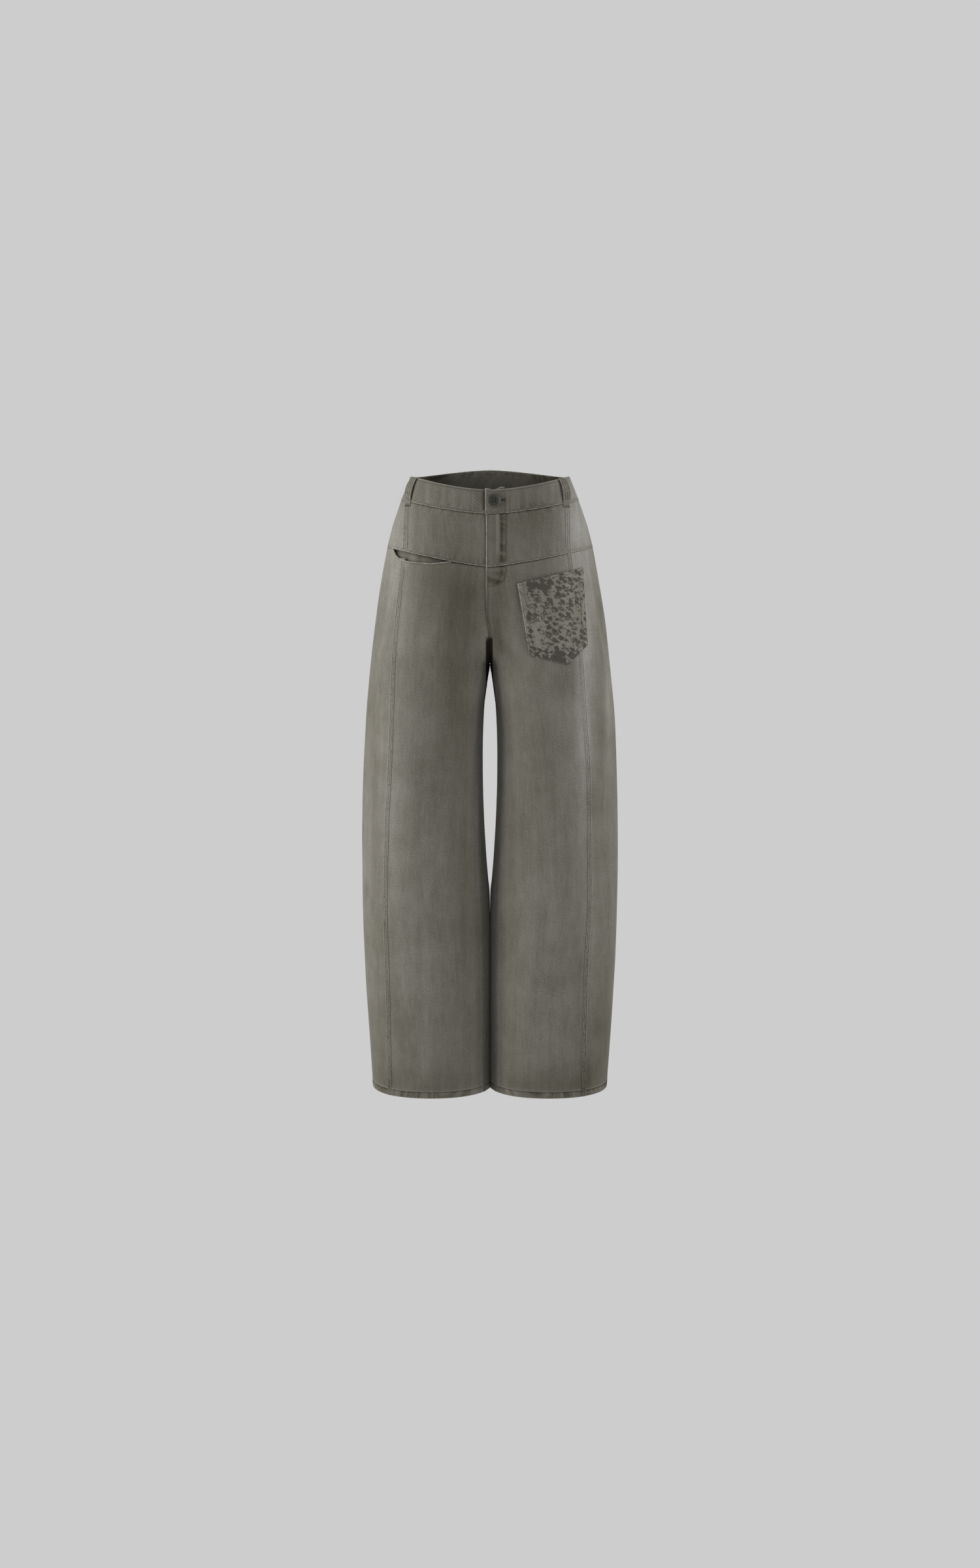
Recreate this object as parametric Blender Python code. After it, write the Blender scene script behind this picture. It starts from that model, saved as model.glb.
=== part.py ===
"""Wide-leg trousers in washed twill, filled out as they are worn, with nobody in them.

Metres, +Z up.  The wearer faces -Y, so +X is the wearer's left.  The origin is inside the
waist, on the centre line, level with the middle of the waistband at the sides.

Every cloth piece is a wall between two smooth faces of one trouser surface.  The surface is
a stack of rounded sections, one closed ring for each leg.  Above the crotch the two leg rings
run into each other and each is cut at the centre line, which leaves one ring round the hips
and a curved seam between the legs.
"""

import math
from collections import namedtuple

import bmesh
import bpy
import numpy as np

# Cloth and sewing
WALL = 0.0016
SEAM_GAP = 0.0003
LAP_CLEARANCE = 0.0006
HEM_TURN = 0.012
HEM_WALL = 0.0030
HEM_STEP = 0.001

# Cut
HEM_HEIGHT = -1.010
CROTCH_HEIGHT = -0.289
WAISTBAND_DEPTH = 0.038
WAIST_FRONT = -0.006
WAIST_SIDE = 0.019
WAIST_BACK = 0.034
YOKE_FRONT = -0.128
YOKE_SIDE = -0.095
YOKE_BACK = -0.122
FLY_LAP = 0.006
FLY_END = -0.190
FLY_RUN_OUT = 0.060

# How square the sections are: 2 is an ellipse
LEG_POWER = 2.2
WAIST_POWER = 2.6
CROTCH_POWER = 0.85
CROTCH_REACH = 0.090

# Over what heights the columns turn from the centre line to the inseam
SWING_TOP = -0.120
SWING_DEPTH = 0.400

# Where the legs lie against each other
LEG_CLEARANCE = 0.0004
CONTACT_SOFTNESS = 0.0015
CONTACT_TOP = -0.580
CONTACT_FADE = 0.040

# How far the inseam is drawn to the front, in degrees
INSEAM_FORWARD = 19.0
INSEAM_FORWARD_LOW = 9.0

# One row for each level down the garment, in metres from the waist: the outer and inner side
# of one leg's ring from the centre line, its depth to the front and to the back, and how far
# from the centre line the two side seams lie on the front
Section = namedtuple("Section", "height outer inner front back seam_right seam_left")
SECTIONS = [
    Section(0.045, 0.1190, -0.1190, 0.0900, 0.0900, 0.1110, 0.1060),
    Section(0.019, 0.1305, -0.1305, 0.0940, 0.0950, 0.1225, 0.1165),
    Section(0.000, 0.1385, -0.1385, 0.0970, 0.0990, 0.1300, 0.1230),
    Section(-0.030, 0.1495, -0.1495, 0.1010, 0.1050, 0.1375, 0.1285),
    Section(-0.060, 0.1600, -0.1600, 0.1055, 0.1120, 0.1400, 0.1300),
    Section(-0.095, 0.1690, -0.1690, 0.1100, 0.1200, 0.1412, 0.1305),
    Section(-0.130, 0.1760, -0.1740, 0.1130, 0.1270, 0.1440, 0.1340),
    Section(-0.165, 0.1822, -0.1630, 0.1145, 0.1310, 0.1480, 0.1390),
    Section(-0.200, 0.1878, -0.1280, 0.1145, 0.1310, 0.1520, 0.1432),
    Section(-0.230, 0.1918, -0.0820, 0.1135, 0.1285, 0.1552, 0.1470),
    Section(-0.258, 0.1948, -0.0360, 0.1120, 0.1245, 0.1578, 0.1498),
    Section(-0.289, 0.1980, 0.0004, 0.1100, 0.1200, 0.1598, 0.1525),
    Section(-0.297, 0.1989, 0.0018, 0.1095, 0.1190, 0.1602, 0.1530),
    Section(-0.316, 0.2010, 0.0050, 0.1084, 0.1165, 0.1610, 0.1543),
    Section(-0.340, 0.2035, 0.0077, 0.1070, 0.1140, 0.1620, 0.1560),
    Section(-0.400, 0.2085, 0.0114, 0.1045, 0.1085, 0.1648, 0.1605),
    Section(-0.470, 0.2128, 0.0121, 0.1020, 0.1040, 0.1682, 0.1650),
    Section(-0.550, 0.2150, 0.0098, 0.0995, 0.1000, 0.1728, 0.1668),
    Section(-0.620, 0.2157, 0.0056, 0.0980, 0.0975, 0.1755, 0.1682),
    Section(-0.690, 0.2154, -0.0002, 0.0965, 0.0955, 0.1771, 0.1687),
    Section(-0.780, 0.2133, -0.0024, 0.0945, 0.0935, 0.1748, 0.1640),
    Section(-0.900, 0.2072, -0.0030, 0.0920, 0.0915, 0.1724, 0.1612),
    Section(-1.010, 0.2005, -0.0030, 0.0900, 0.0900, 0.1710, 0.1600),
]

# The slit pocket in the right yoke seam: how far the lower lip hangs below the seam
Lip = namedtuple("Lip", "across drop")
SLIT = [
    Lip(0.0610, 0.0000),
    Lip(0.0722, 0.0040),
    Lip(0.0944, 0.0104),
    Lip(0.1093, 0.0127),
    Lip(0.1280, 0.0152),
    Lip(0.1396, 0.0154),
    Lip(0.1474, 0.0133),
    Lip(0.1521, 0.0100),
    Lip(0.1590, 0.0000),
]
LIP_STAND_OFF = 0.12
LIP_FADE = 0.020
FACING_ABOVE = 0.014
FACING_BELOW = 0.034
FACING_MARGIN = 0.008
FACING_CLEARANCE = 0.0011

# The patch pocket on the left thigh, its corners from the centre line and from the waist
Corner = namedtuple("Corner", "across height")
POCKET_TOP_INNER = Corner(0.0438, -0.1553)
POCKET_TOP_OUTER = Corner(0.1494, -0.1302)
POCKET_LOW_INNER = Corner(0.0640, -0.2702)
POCKET_POINT = Corner(0.1262, -0.2847)
POCKET_LOW_OUTER = Corner(0.1572, -0.2540)
POCKET_WALL = 0.0018
POCKET_MOUTH = 0.0022

# Underlap, fly shield, belt loops and button
End = namedtuple("End", "across rise")
BAND_LAP = 0.008
BAND_UNDERLAP = 0.023
UNDERLAP_RISE = 0.0055
UNDERLAP_START = 0.017
UNDERLAP_STEP = 0.007
SHIELD_INNER = 0.028
SHIELD_OUTER = 0.034
SHIELD_END = -0.172
SHIELD_CURVE = 0.026
SHIELD_BELOW_BAND = 0.003
LOOP_WIDTH = 0.012
LOOP_WALL = 0.0020
LOOP_STAND_OFF = 0.0026
LOOP_BELOW_TOP = 0.0005
LOOP_OUTER_LIFT = 0.0030
LOOP_BELOW_BAND = 0.009
LOOP_LOWER_TACK = 0.84
LOOP_FULLNESS = 0.6
LOOP_RIGHT_ANGLE = -28.0
LOOP_LEFT_ANGLE = -35.0
LOOP_BACK_ANGLE = 90.0
BUTTON_RADIUS = 0.01125
BUTTON_THICKNESS = 0.0030
BUTTON_RIM = 0.0026
BUTTON_WELL = 0.0008
BUTTON_EDGE = 0.0008
BUTTON_HOLE_RADIUS = 0.0010
BUTTON_HOLE_PITCH = 0.0040
BUTTON_ACROSS = 0.0063
BUTTON_HEIGHT = -0.0233

# Small steps, in radians and metres, by which the surface's directions are measured
TURN = 1e-3
RISE = 1e-4
SETTLING_ROUNDS = 6

# Mesh density
FRONT_COLUMNS = 12
BACK_COLUMNS = 13
BAND_ROWS = 2
YOKE_ROWS = 5
THIGH_ROWS = 10
LEG_ROWS = 14
THIGH_CROWDING = 1.6
LEG_CROWDING = 1.25
SHIELD_COLUMNS = 7
SHIELD_ROWS = 9
FACING_COLUMNS = 14
FACING_ROWS = 6
POCKET_COLUMNS = 14
POCKET_ROWS = 12
LOOP_COLUMNS = 2
LOOP_ROWS = 8
BUTTON_STEPS = 28
HOLE_SIDES = 10

OBJECT = "wide_leg_trousers"
TWILL = ("washed_twill", (0.130, 0.123, 0.104, 1.0), 0.92)
PRINT = ("printed_twill", (0.165, 0.156, 0.130, 1.0), 0.92)
BUTTON = ("button_plastic", (0.060, 0.064, 0.052, 1.0), 0.45)


def clear_scene():
    for thing in list(bpy.data.objects):
        bpy.data.objects.remove(thing, do_unlink=True)


def finish(settings):
    name, colour, roughness = settings
    material = bpy.data.materials.get(name)
    if material is None:
        material = bpy.data.materials.new(name)
        material.use_nodes = True
        shader = material.node_tree.nodes["Principled BSDF"]
        shader.inputs["Base Color"].default_value = colour
        shader.inputs["Roughness"].default_value = roughness
        shader.inputs["Metallic"].default_value = 0.0
    return material


def smooth_step(value):
    value = np.clip(value, 0.0, 1.0)
    return value * value * (3.0 - 2.0 * value)


def column(name):
    """A smooth curve down the garment through one column of the table."""
    rows = SECTIONS[::-1]
    heights = np.array([row.height for row in rows])
    values = np.array([getattr(row, name) for row in rows])
    slopes = np.gradient(values, heights)

    def at(height):
        height = np.asarray(height, float)
        low = np.clip(np.searchsorted(heights, height) - 1, 0, len(heights) - 2)
        span = heights[low + 1] - heights[low]
        t = (height - heights[low]) / span
        start = (2 * t**3 - 3 * t**2 + 1) * values[low] + (t**3 - 2 * t**2 + t) * span * slopes[low]
        end = (3 * t**2 - 2 * t**3) * values[low + 1] + (t**3 - t**2) * span * slopes[low + 1]
        return start + end

    return at


OUTER = column("outer")
INNER = column("inner")
FRONT = column("front")
BACK = column("back")
SEAM = {-1: column("seam_right"), 1: column("seam_left")}


def outer_power(height):
    share = smooth_step((height + 0.20) / 0.20)
    return LEG_POWER + (WAIST_POWER - LEG_POWER) * share


def inner_power(height):
    bulge = np.exp(-(((height - CROTCH_HEIGHT) / CROTCH_REACH) ** 2))
    return outer_power(height) + CROTCH_POWER * bulge


def ring(angle, height):
    """A point of the wearer's left side.  -90 degrees is the front, 0 the side, 90 the back."""
    angle, height = np.broadcast_arrays(np.asarray(angle, float), np.asarray(height, float))
    middle = (OUTER(height) + INNER(height)) / 2
    half = (OUTER(height) - INNER(height)) / 2
    cosine = np.cos(angle)
    sine = np.sin(angle)
    power = np.where(cosine >= 0, outer_power(height), inner_power(height))
    depth = np.where(sine < 0, FRONT(height), BACK(height))
    x = middle + half * np.sign(cosine) * np.abs(cosine) ** (2 / power)
    y = depth * np.sign(sine) * np.abs(sine) ** (2 / power)
    # Low down the legs press flat against each other at the centre line
    contact = np.clip((CONTACT_TOP - height) / CONTACT_FADE, 0.0, 1.0)
    beyond = x - LEG_CLEARANCE
    pressed = LEG_CLEARANCE + (beyond + np.sqrt(beyond**2 + CONTACT_SOFTNESS**2)) / 2
    x = x + (pressed - x) * contact
    return np.stack([x, y, height], axis=-1)


def surface(side, angle, height):
    return ring(angle, height) * np.array([side, 1.0, 1.0])


def normal(side, angle, height):
    """The outward direction of the trouser surface."""
    around = ring(angle + TURN, height) - ring(angle - TURN, height)
    upward = ring(angle, height + RISE) - ring(angle, height - RISE)
    outward = np.cross(around, upward)
    outward /= np.linalg.norm(outward, axis=-1, keepdims=True)
    return outward * np.array([side, 1.0, 1.0])


def angle_at(across, height, towards=-1):
    """The angle at a distance from the centre line, on the front (-1) or the back (1)."""
    middle = (OUTER(height) + INNER(height)) / 2
    half = (OUTER(height) - INNER(height)) / 2
    share = np.clip((across - middle) / half, -1.0, 1.0)
    power = np.where(share >= 0, outer_power(height), inner_power(height))
    return towards * np.arccos(np.sign(share) * np.abs(share) ** (power / 2))


def speed(angle, height):
    """Metres of cloth round the ring for each radian."""
    around = ring(angle + TURN, height) - ring(angle - TURN, height)
    return np.linalg.norm(around, axis=-1) / (2 * TURN)


def inset(angle, height, towards):
    """The angle moved along the cloth by half a seam gap."""
    return angle + towards * SEAM_GAP / 2 / speed(angle, height)


def inseam(height):
    below = smooth_step((CROTCH_HEIGHT - height) / 0.12)
    low = smooth_step((-0.45 - height) / 0.25)
    return np.radians(INSEAM_FORWARD * below + INSEAM_FORWARD_LOW * low)


def fly_edge(height):
    """How far the left front laps past the centre line."""
    return FLY_LAP * smooth_step((height - (FLY_END - FLY_RUN_OUT)) / FLY_RUN_OUT)


def front_centre(side, height):
    cut = angle_at(SEAM_GAP / 2 - side * fly_edge(height), height)
    leg = inset(-math.pi + inseam(height), height, 1)
    return np.where(height > CROTCH_HEIGHT, cut, leg)


def back_centre(side, height):
    cut = angle_at(SEAM_GAP / 2, height, 1)
    leg = inset(math.pi + inseam(height), height, -1)
    return np.where(height > CROTCH_HEIGHT, cut, leg)


def side_seam(side, height):
    return angle_at(SEAM[side](height), height)


def spread(share, near, slow, far):
    """Columns from the centre edge to the far edge.  Where the centre edge swings round to the
    inseam, the columns next to it take up the swing and the rest hardly move."""
    return slow + (far - slow) * share + (near - slow) * (1.0 - share) ** 3


def swing(height):
    """How far the columns have turned from the centre line to the inseam."""
    return smooth_step((SWING_TOP - height) / SWING_DEPTH)


def front_angle(side, share, height):
    """share runs from 0 at the centre front or inseam to 1 at the side seam."""
    near = front_centre(side, height)
    far = inset(side_seam(side, height), height, -1)
    slow = -math.pi / 2 + (inseam(height) - math.pi / 2) * swing(height)
    return spread(share, near, slow, far)


def back_angle(side, share, height):
    """share runs from 0 at the side seam to 1 at the centre back or inseam."""
    near = back_centre(side, height)
    far = inset(side_seam(side, height), height, 1)
    slow = math.pi / 2 + (inseam(height) + math.pi / 2) * swing(height)
    return spread(1.0 - share, near, slow, far)


def level(angle, front, beside, back, power):
    """A seam's height round the body, from its heights at the front, the side and the back."""
    end = np.where(np.sin(angle) < 0, front, back)
    return end + (beside - end) * np.abs(np.cos(angle)) ** power


def waist_top(angle):
    return level(angle, WAIST_FRONT, WAIST_SIDE, WAIST_BACK, 1.25)


def waist_seam(angle):
    return waist_top(angle) - WAISTBAND_DEPTH


def yoke_seam(angle):
    return level(angle, YOKE_FRONT, YOKE_SIDE, YOKE_BACK, 1.1)


def slit_drop(across):
    """How far the right leg's top edge hangs below the yoke seam at the slit pocket."""
    return np.interp(across, [lip.across for lip in SLIT], [lip.drop for lip in SLIT])


def cloth(name, settings, side, angles, heights, stand_off, wall):
    """One cloth piece: a wall whose two faces both follow the trouser surface."""
    direction = normal(side, angles, heights)
    outside = surface(side, angles, heights) + direction * stand_off[..., None]
    inside = outside - direction * wall[..., None]
    rows, columns = angles.shape
    bm = bmesh.new()
    layers = []
    for points in (outside, inside):
        layers.append([[bm.verts.new(points[i, j]) for j in range(columns)] for i in range(rows)])
    for layer in layers:
        for i in range(rows - 1):
            for j in range(columns - 1):
                bm.faces.new((layer[i][j], layer[i + 1][j], layer[i + 1][j + 1], layer[i][j + 1]))
    outer, inner = layers
    border = [(0, j) for j in range(columns)]
    border += [(i, columns - 1) for i in range(1, rows)]
    border += [(rows - 1, j) for j in range(columns - 2, -1, -1)]
    border += [(i, 0) for i in range(rows - 2, 0, -1)]
    for (i, j), (k, m) in zip(border, border[1:] + border[:1]):
        bm.faces.new((outer[i][j], outer[k][m], inner[k][m], inner[i][j]))
    bmesh.ops.recalc_face_normals(bm, faces=bm.faces)
    return add_object(name, settings, bm)


def add_object(name, settings, bm):
    mesh = bpy.data.meshes.new(name)
    bm.to_mesh(mesh)
    bm.free()
    mesh.shade_smooth()
    mesh.set_sharp_from_angle(angle=math.radians(35))
    mesh.materials.append(finish(settings))
    thing = bpy.data.objects.new(name, mesh)
    bpy.data.collections[OBJECT].objects.link(thing)
    return thing


def flat_wall(angles, wall=WALL):
    return np.zeros_like(angles), np.full_like(angles, wall)


def between(top, bottom, shares):
    return top[None, :] + (bottom - top)[None, :] * shares[:, None]


def settle(angle_of, height_of, shares):
    """The heights of a seam at each column, on angles that themselves change with height."""
    heights = np.full_like(shares, YOKE_SIDE)
    for _ in range(SETTLING_ROUNDS):
        heights = height_of(angle_of(shares, heights))
    return heights


def yoke(name, side, angle_of, columns):
    shares = np.linspace(0.0, 1.0, columns + 1)
    top = settle(angle_of, waist_seam, shares) - SEAM_GAP / 2
    bottom = settle(angle_of, yoke_seam, shares) + SEAM_GAP / 2
    heights = between(top, bottom, np.linspace(0.0, 1.0, YOKE_ROWS + 1))
    angles = angle_of(shares[None, :], heights)
    cloth(name, TWILL, side, angles, heights, *flat_wall(angles))


def leg(name, side, angle_of, columns, slit):
    """Rows close up towards the crotch, then open out down the leg to the turned hem."""
    shares = np.linspace(0.0, 1.0, columns + 1)
    top = settle(angle_of, yoke_seam, shares) - SEAM_GAP / 2
    drop = np.zeros_like(top)
    if slit:
        edge = ring(angle_of(shares, top), top)
        drop = slit_drop(edge[:, 0]) * (edge[:, 1] < 0)
    top = top - drop
    thigh = (1.0 - np.linspace(0.0, 1.0, THIGH_ROWS + 1)) ** THIGH_CROWDING
    heights = [CROTCH_HEIGHT + (top - CROTCH_HEIGHT) * share for share in thigh]
    hem_top = HEM_HEIGHT + HEM_TURN
    down = np.linspace(0.0, 1.0, LEG_ROWS + 1)[1:] ** LEG_CROWDING
    heights += [np.full_like(top, CROTCH_HEIGHT + (hem_top - CROTCH_HEIGHT) * t) for t in down]
    heights += [np.full_like(top, hem_top - HEM_STEP), np.full_like(top, HEM_HEIGHT)]
    heights = np.array(heights)
    angles = angle_of(shares[None, :], heights)
    stand_off, wall = flat_wall(angles)
    wall[-2:] = HEM_WALL
    stand_off += LIP_STAND_OFF * drop * np.exp((heights - top) / LIP_FADE)
    cloth(name, TWILL, side, angles, heights, stand_off, wall)


def band_grid(angle_of, columns):
    """Angles and heights of a waistband piece over the columns of the yoke below it."""
    shares = np.linspace(0.0, 1.0, columns + 1)
    top = settle(angle_of, waist_top, shares)
    bottom = settle(angle_of, waist_seam, shares) + SEAM_GAP / 2
    heights = between(top, bottom, np.linspace(0.0, 1.0, BAND_ROWS + 1))
    return angle_of(shares[None, :], heights), heights


def front_band(side):
    """The left end laps over the centre line; the right end runs on behind it."""
    def angle_of(share, height):
        return front_angle(side, share, height)

    angles, heights = band_grid(angle_of, FRONT_COLUMNS)
    if side > 0:
        ends = [End(-BAND_LAP, 0.0)]
    else:
        ends = [
            End(-BAND_UNDERLAP, UNDERLAP_RISE),
            End(-BAND_UNDERLAP / 2, UNDERLAP_RISE / 3),
            End(0.0, 0.0),
        ]
    near = heights[:, :1]
    for end in reversed(ends):
        raised = near.copy()
        raised[0] += end.rise
        heights = np.column_stack([raised, heights])
        angles = np.column_stack([angle_at(end.across, raised), angles])
    stand_off, wall = flat_wall(angles)
    if side < 0:
        across = ring(angles, heights)[..., 0]
        behind = smooth_step((UNDERLAP_START - across) / UNDERLAP_STEP)
        stand_off -= (WALL + LAP_CLEARANCE) * behind
    name = "waistband_front_left" if side > 0 else "waistband_front_right"
    cloth(name, TWILL, side, angles, heights, stand_off, wall)


def back_band():
    """One piece from side seam to side seam, on the back columns of both sides."""
    pieces = []
    for side in (-1, 1):
        def angle_of(share, height, side=side):
            return back_angle(side, share, height)

        angles, heights = band_grid(angle_of, BACK_COLUMNS)
        if side < 0:
            angles = math.pi - angles
        pieces.append((angles[:, :-1], heights[:, :-1]))
    (right_angles, right_heights), (left_angles, left_heights) = pieces
    middle = np.full((BAND_ROWS + 1, 1), math.pi / 2)
    centre = np.linspace(waist_top(math.pi / 2), waist_seam(math.pi / 2) + SEAM_GAP / 2,
                         BAND_ROWS + 1)[:, None]
    angles = np.column_stack([right_angles, middle, left_angles[:, ::-1]])
    heights = np.column_stack([right_heights, centre, left_heights[:, ::-1]])
    cloth("waistband_back", TWILL, 1, angles, heights, *flat_wall(angles))


def fly_shield():
    """The strip behind the zip, sewn to the right front, with a rounded lower end."""
    across = np.linspace(-SHIELD_INNER, SHIELD_OUTER, SHIELD_COLUMNS + 1)
    top = np.full_like(across, waist_seam(-math.pi / 2) - SHIELD_BELOW_BAND)
    corner = np.clip(1.0 - (SHIELD_OUTER - across) / SHIELD_CURVE, 0.0, 1.0)
    bottom = SHIELD_END + SHIELD_CURVE * (1.0 - np.sqrt(1.0 - corner**2))
    heights = between(top, bottom, np.linspace(0.0, 1.0, SHIELD_ROWS + 1))
    angles = angle_at(np.broadcast_to(across, heights.shape), heights)
    stand_off, wall = flat_wall(angles)
    stand_off -= WALL + LAP_CLEARANCE
    cloth("fly_shield", TWILL, 1, angles, heights, stand_off, wall)


def slit_facing():
    """The same cloth behind the slit pocket's mouth, caught in under the yoke."""
    inner = SLIT[0].across - FACING_MARGIN
    outer = SLIT[-1].across + FACING_MARGIN / 2
    across = np.linspace(inner, outer, FACING_COLUMNS + 1)
    seam = settle(angle_at, yoke_seam, across)
    shares = np.linspace(0.0, 1.0, FACING_ROWS + 1)
    heights = between(seam + FACING_ABOVE, seam - FACING_BELOW, shares)
    angles = np.broadcast_to(angle_at(across, seam), heights.shape)
    stand_off, wall = flat_wall(angles)
    stand_off -= WALL + FACING_CLEARANCE
    cloth("slit_pocket_facing", TWILL, -1, angles, heights, stand_off, wall)


def patch_pocket():
    """Five-cornered, sewn on over the side seam, with its mouth a little open."""
    shares = np.linspace(0.0, 1.0, POCKET_COLUMNS + 1)
    down = np.linspace(0.0, 1.0, POCKET_ROWS + 1)
    width = POCKET_LOW_OUTER.across - POCKET_LOW_INNER.across
    point = (POCKET_POINT.across - POCKET_LOW_INNER.across) / width
    # One column falls on the lower point
    point = round(point * POCKET_COLUMNS) / POCKET_COLUMNS
    grids = []
    for axis in range(2):
        top = np.interp(shares, [0, 1], [POCKET_TOP_INNER[axis], POCKET_TOP_OUTER[axis]])
        lower = [POCKET_LOW_INNER[axis], POCKET_POINT[axis], POCKET_LOW_OUTER[axis]]
        grids.append(between(top, np.interp(shares, [0, point, 1], lower), down))
    across, heights = grids
    angles = angle_at(across, heights)
    mouth = np.sin(np.pi * shares)[None, :] * (1.0 - down[:, None]) ** 4
    stand_off = LAP_CLEARANCE + POCKET_WALL + POCKET_MOUTH * mouth
    wall = np.full_like(angles, POCKET_WALL)
    cloth("patch_pocket", PRINT, 1, angles, heights, stand_off, wall)


def belt_loop(name, side, degrees):
    """A folded strip over the band, fast at both ends and standing off between them."""
    centre = math.radians(degrees)
    top = waist_top(centre) - LOOP_BELOW_TOP
    bottom = waist_seam(centre) - LOOP_BELOW_BAND
    down = np.linspace(0.0, 1.0, LOOP_ROWS + 1)
    height = top + (bottom - top) * down
    line = np.full_like(height, centre)
    if degrees < 0:
        seam = side_seam(side, height)
        line = seam + centre - seam[0]
    half_turn = LOOP_WIDTH / 2 / speed(line, height)
    breadth = np.linspace(-1.0, 1.0, LOOP_COLUMNS + 1)
    angles = line[:, None] + half_turn[:, None] * breadth
    heights = np.repeat(height[:, None], LOOP_COLUMNS + 1, axis=1)
    arch = np.sin(np.pi * np.clip(down / LOOP_LOWER_TACK, 0.0, 1.0)) ** LOOP_FULLNESS
    stand_off = LAP_CLEARANCE + LOOP_WALL + LOOP_STAND_OFF * arch
    stand_off = np.repeat(stand_off[:, None], LOOP_COLUMNS + 1, axis=1)
    if degrees < 0:
        # The front loops are twisted a little, so that they face the front
        stand_off += LOOP_OUTER_LIFT * arch[:, None] * (breadth + 1) / 2
    cloth(name, TWILL, side, angles, heights, stand_off, np.full_like(angles, LOOP_WALL))


def button():
    """A four-hole button, turned with a raised rim, standing on the waistband."""
    low = -BUTTON_THICKNESS / 2
    high = BUTTON_THICKNESS / 2
    inner = BUTTON_RADIUS - BUTTON_RIM
    profile = [
        (0.0, high - BUTTON_WELL),
        (inner - BUTTON_EDGE, high - BUTTON_WELL),
        (inner, high),
        (BUTTON_RADIUS - BUTTON_EDGE, high),
        (BUTTON_RADIUS, high - BUTTON_EDGE),
        (BUTTON_RADIUS, low + BUTTON_EDGE),
        (BUTTON_RADIUS - BUTTON_EDGE, low),
        (0.0, low),
    ]
    bm = bmesh.new()
    points = [bm.verts.new((x, 0.0, z)) for x, z in profile]
    edges = [bm.edges.new(pair) for pair in zip(points, points[1:])]
    bmesh.ops.spin(bm, geom=points + edges, cent=(0, 0, 0), axis=(0, 0, 1),
                   angle=2 * math.pi, steps=BUTTON_STEPS, use_duplicate=False)
    bmesh.ops.remove_doubles(bm, verts=bm.verts, dist=1e-6)
    bmesh.ops.recalc_face_normals(bm, faces=bm.faces)
    thing = add_object("button", BUTTON, bm)
    thing.location, thing.rotation_euler = button_seat()
    for x in (-1, 1):
        for y in (-1, 1):
            drill(thing, x * BUTTON_HOLE_PITCH / 2, y * BUTTON_HOLE_PITCH / 2)
    return thing


def button_seat():
    """The button's place and tilt: flat on the band where it is sewn."""
    height = np.array(BUTTON_HEIGHT)
    angle = angle_at(BUTTON_ACROSS, height)
    out = normal(1, angle, height)
    point = surface(1, angle, height) + out * (BUTTON_THICKNESS / 2 + LAP_CLEARANCE)
    tilt = math.acos(out[2])
    turn = math.atan2(out[1], out[0]) + math.pi / 2
    return tuple(point), (tilt, 0.0, turn)


def drill(thing, x, y):
    bpy.ops.mesh.primitive_cylinder_add(
        vertices=HOLE_SIDES, radius=BUTTON_HOLE_RADIUS, depth=3 * BUTTON_THICKNESS, location=(0, 0, 0))
    cutter = bpy.context.active_object
    cutter.name = "button_hole_cutter"
    cutter.parent = thing
    cutter.location = (x, y, 0.0)
    cutter.hide_render = True
    cutter.display_type = "WIRE"
    for home in list(cutter.users_collection):
        home.objects.unlink(cutter)
    bpy.data.collections["cutters"].objects.link(cutter)
    cut = thing.modifiers.new("hole", "BOOLEAN")
    cut.operation = "DIFFERENCE"
    cut.object = cutter
    cut.solver = "EXACT"


def build():
    clear_scene()
    for name in (OBJECT, "cutters"):
        bpy.context.scene.collection.children.link(bpy.data.collections.new(name))
    for side, word in ((-1, "right"), (1, "left")):
        def front(share, height, side=side):
            return front_angle(side, share, height)

        def back(share, height, side=side):
            return back_angle(side, share, height)

        front_band(side)
        yoke("front_yoke_" + word, side, front, FRONT_COLUMNS)
        yoke("back_yoke_" + word, side, back, BACK_COLUMNS)
        leg("front_leg_" + word, side, front, FRONT_COLUMNS, slit=side < 0)
        leg("back_leg_" + word, side, back, BACK_COLUMNS, slit=side < 0)
    back_band()
    fly_shield()
    slit_facing()
    patch_pocket()
    belt_loop("belt_loop_front_right", -1, LOOP_RIGHT_ANGLE)
    belt_loop("belt_loop_front_left", 1, LOOP_LEFT_ANGLE)
    belt_loop("belt_loop_back", 1, LOOP_BACK_ANGLE)
    button()


build()
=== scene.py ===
import math
from collections import namedtuple
from functools import partial

import bpy
import numpy as np
from mathutils import Matrix, Vector


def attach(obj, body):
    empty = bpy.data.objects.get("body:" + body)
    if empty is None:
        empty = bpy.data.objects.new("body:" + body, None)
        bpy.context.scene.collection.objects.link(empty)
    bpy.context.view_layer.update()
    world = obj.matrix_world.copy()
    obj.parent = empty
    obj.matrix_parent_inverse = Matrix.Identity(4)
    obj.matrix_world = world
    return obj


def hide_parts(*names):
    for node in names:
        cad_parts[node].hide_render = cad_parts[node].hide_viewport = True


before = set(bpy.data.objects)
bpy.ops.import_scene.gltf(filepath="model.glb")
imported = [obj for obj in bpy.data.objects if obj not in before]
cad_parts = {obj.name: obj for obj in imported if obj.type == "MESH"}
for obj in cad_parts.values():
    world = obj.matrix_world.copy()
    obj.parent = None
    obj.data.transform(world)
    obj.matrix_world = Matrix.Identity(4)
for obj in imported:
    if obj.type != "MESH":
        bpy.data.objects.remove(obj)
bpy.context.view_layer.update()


# The studio: one pale floor and an even grey backdrop, two tall soft boxes at the sides and one
# behind, and weak light from all round.  The camera stands three metres off, a little above the hips.
CAMERA_PLACE = (0.0, -3.0, -0.121)
CAMERA_TILT = 7.0438
CAMERA_LENS = 41.22
STUDIO_GREY = (0.610, 0.610, 0.610, 1.0)
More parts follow.
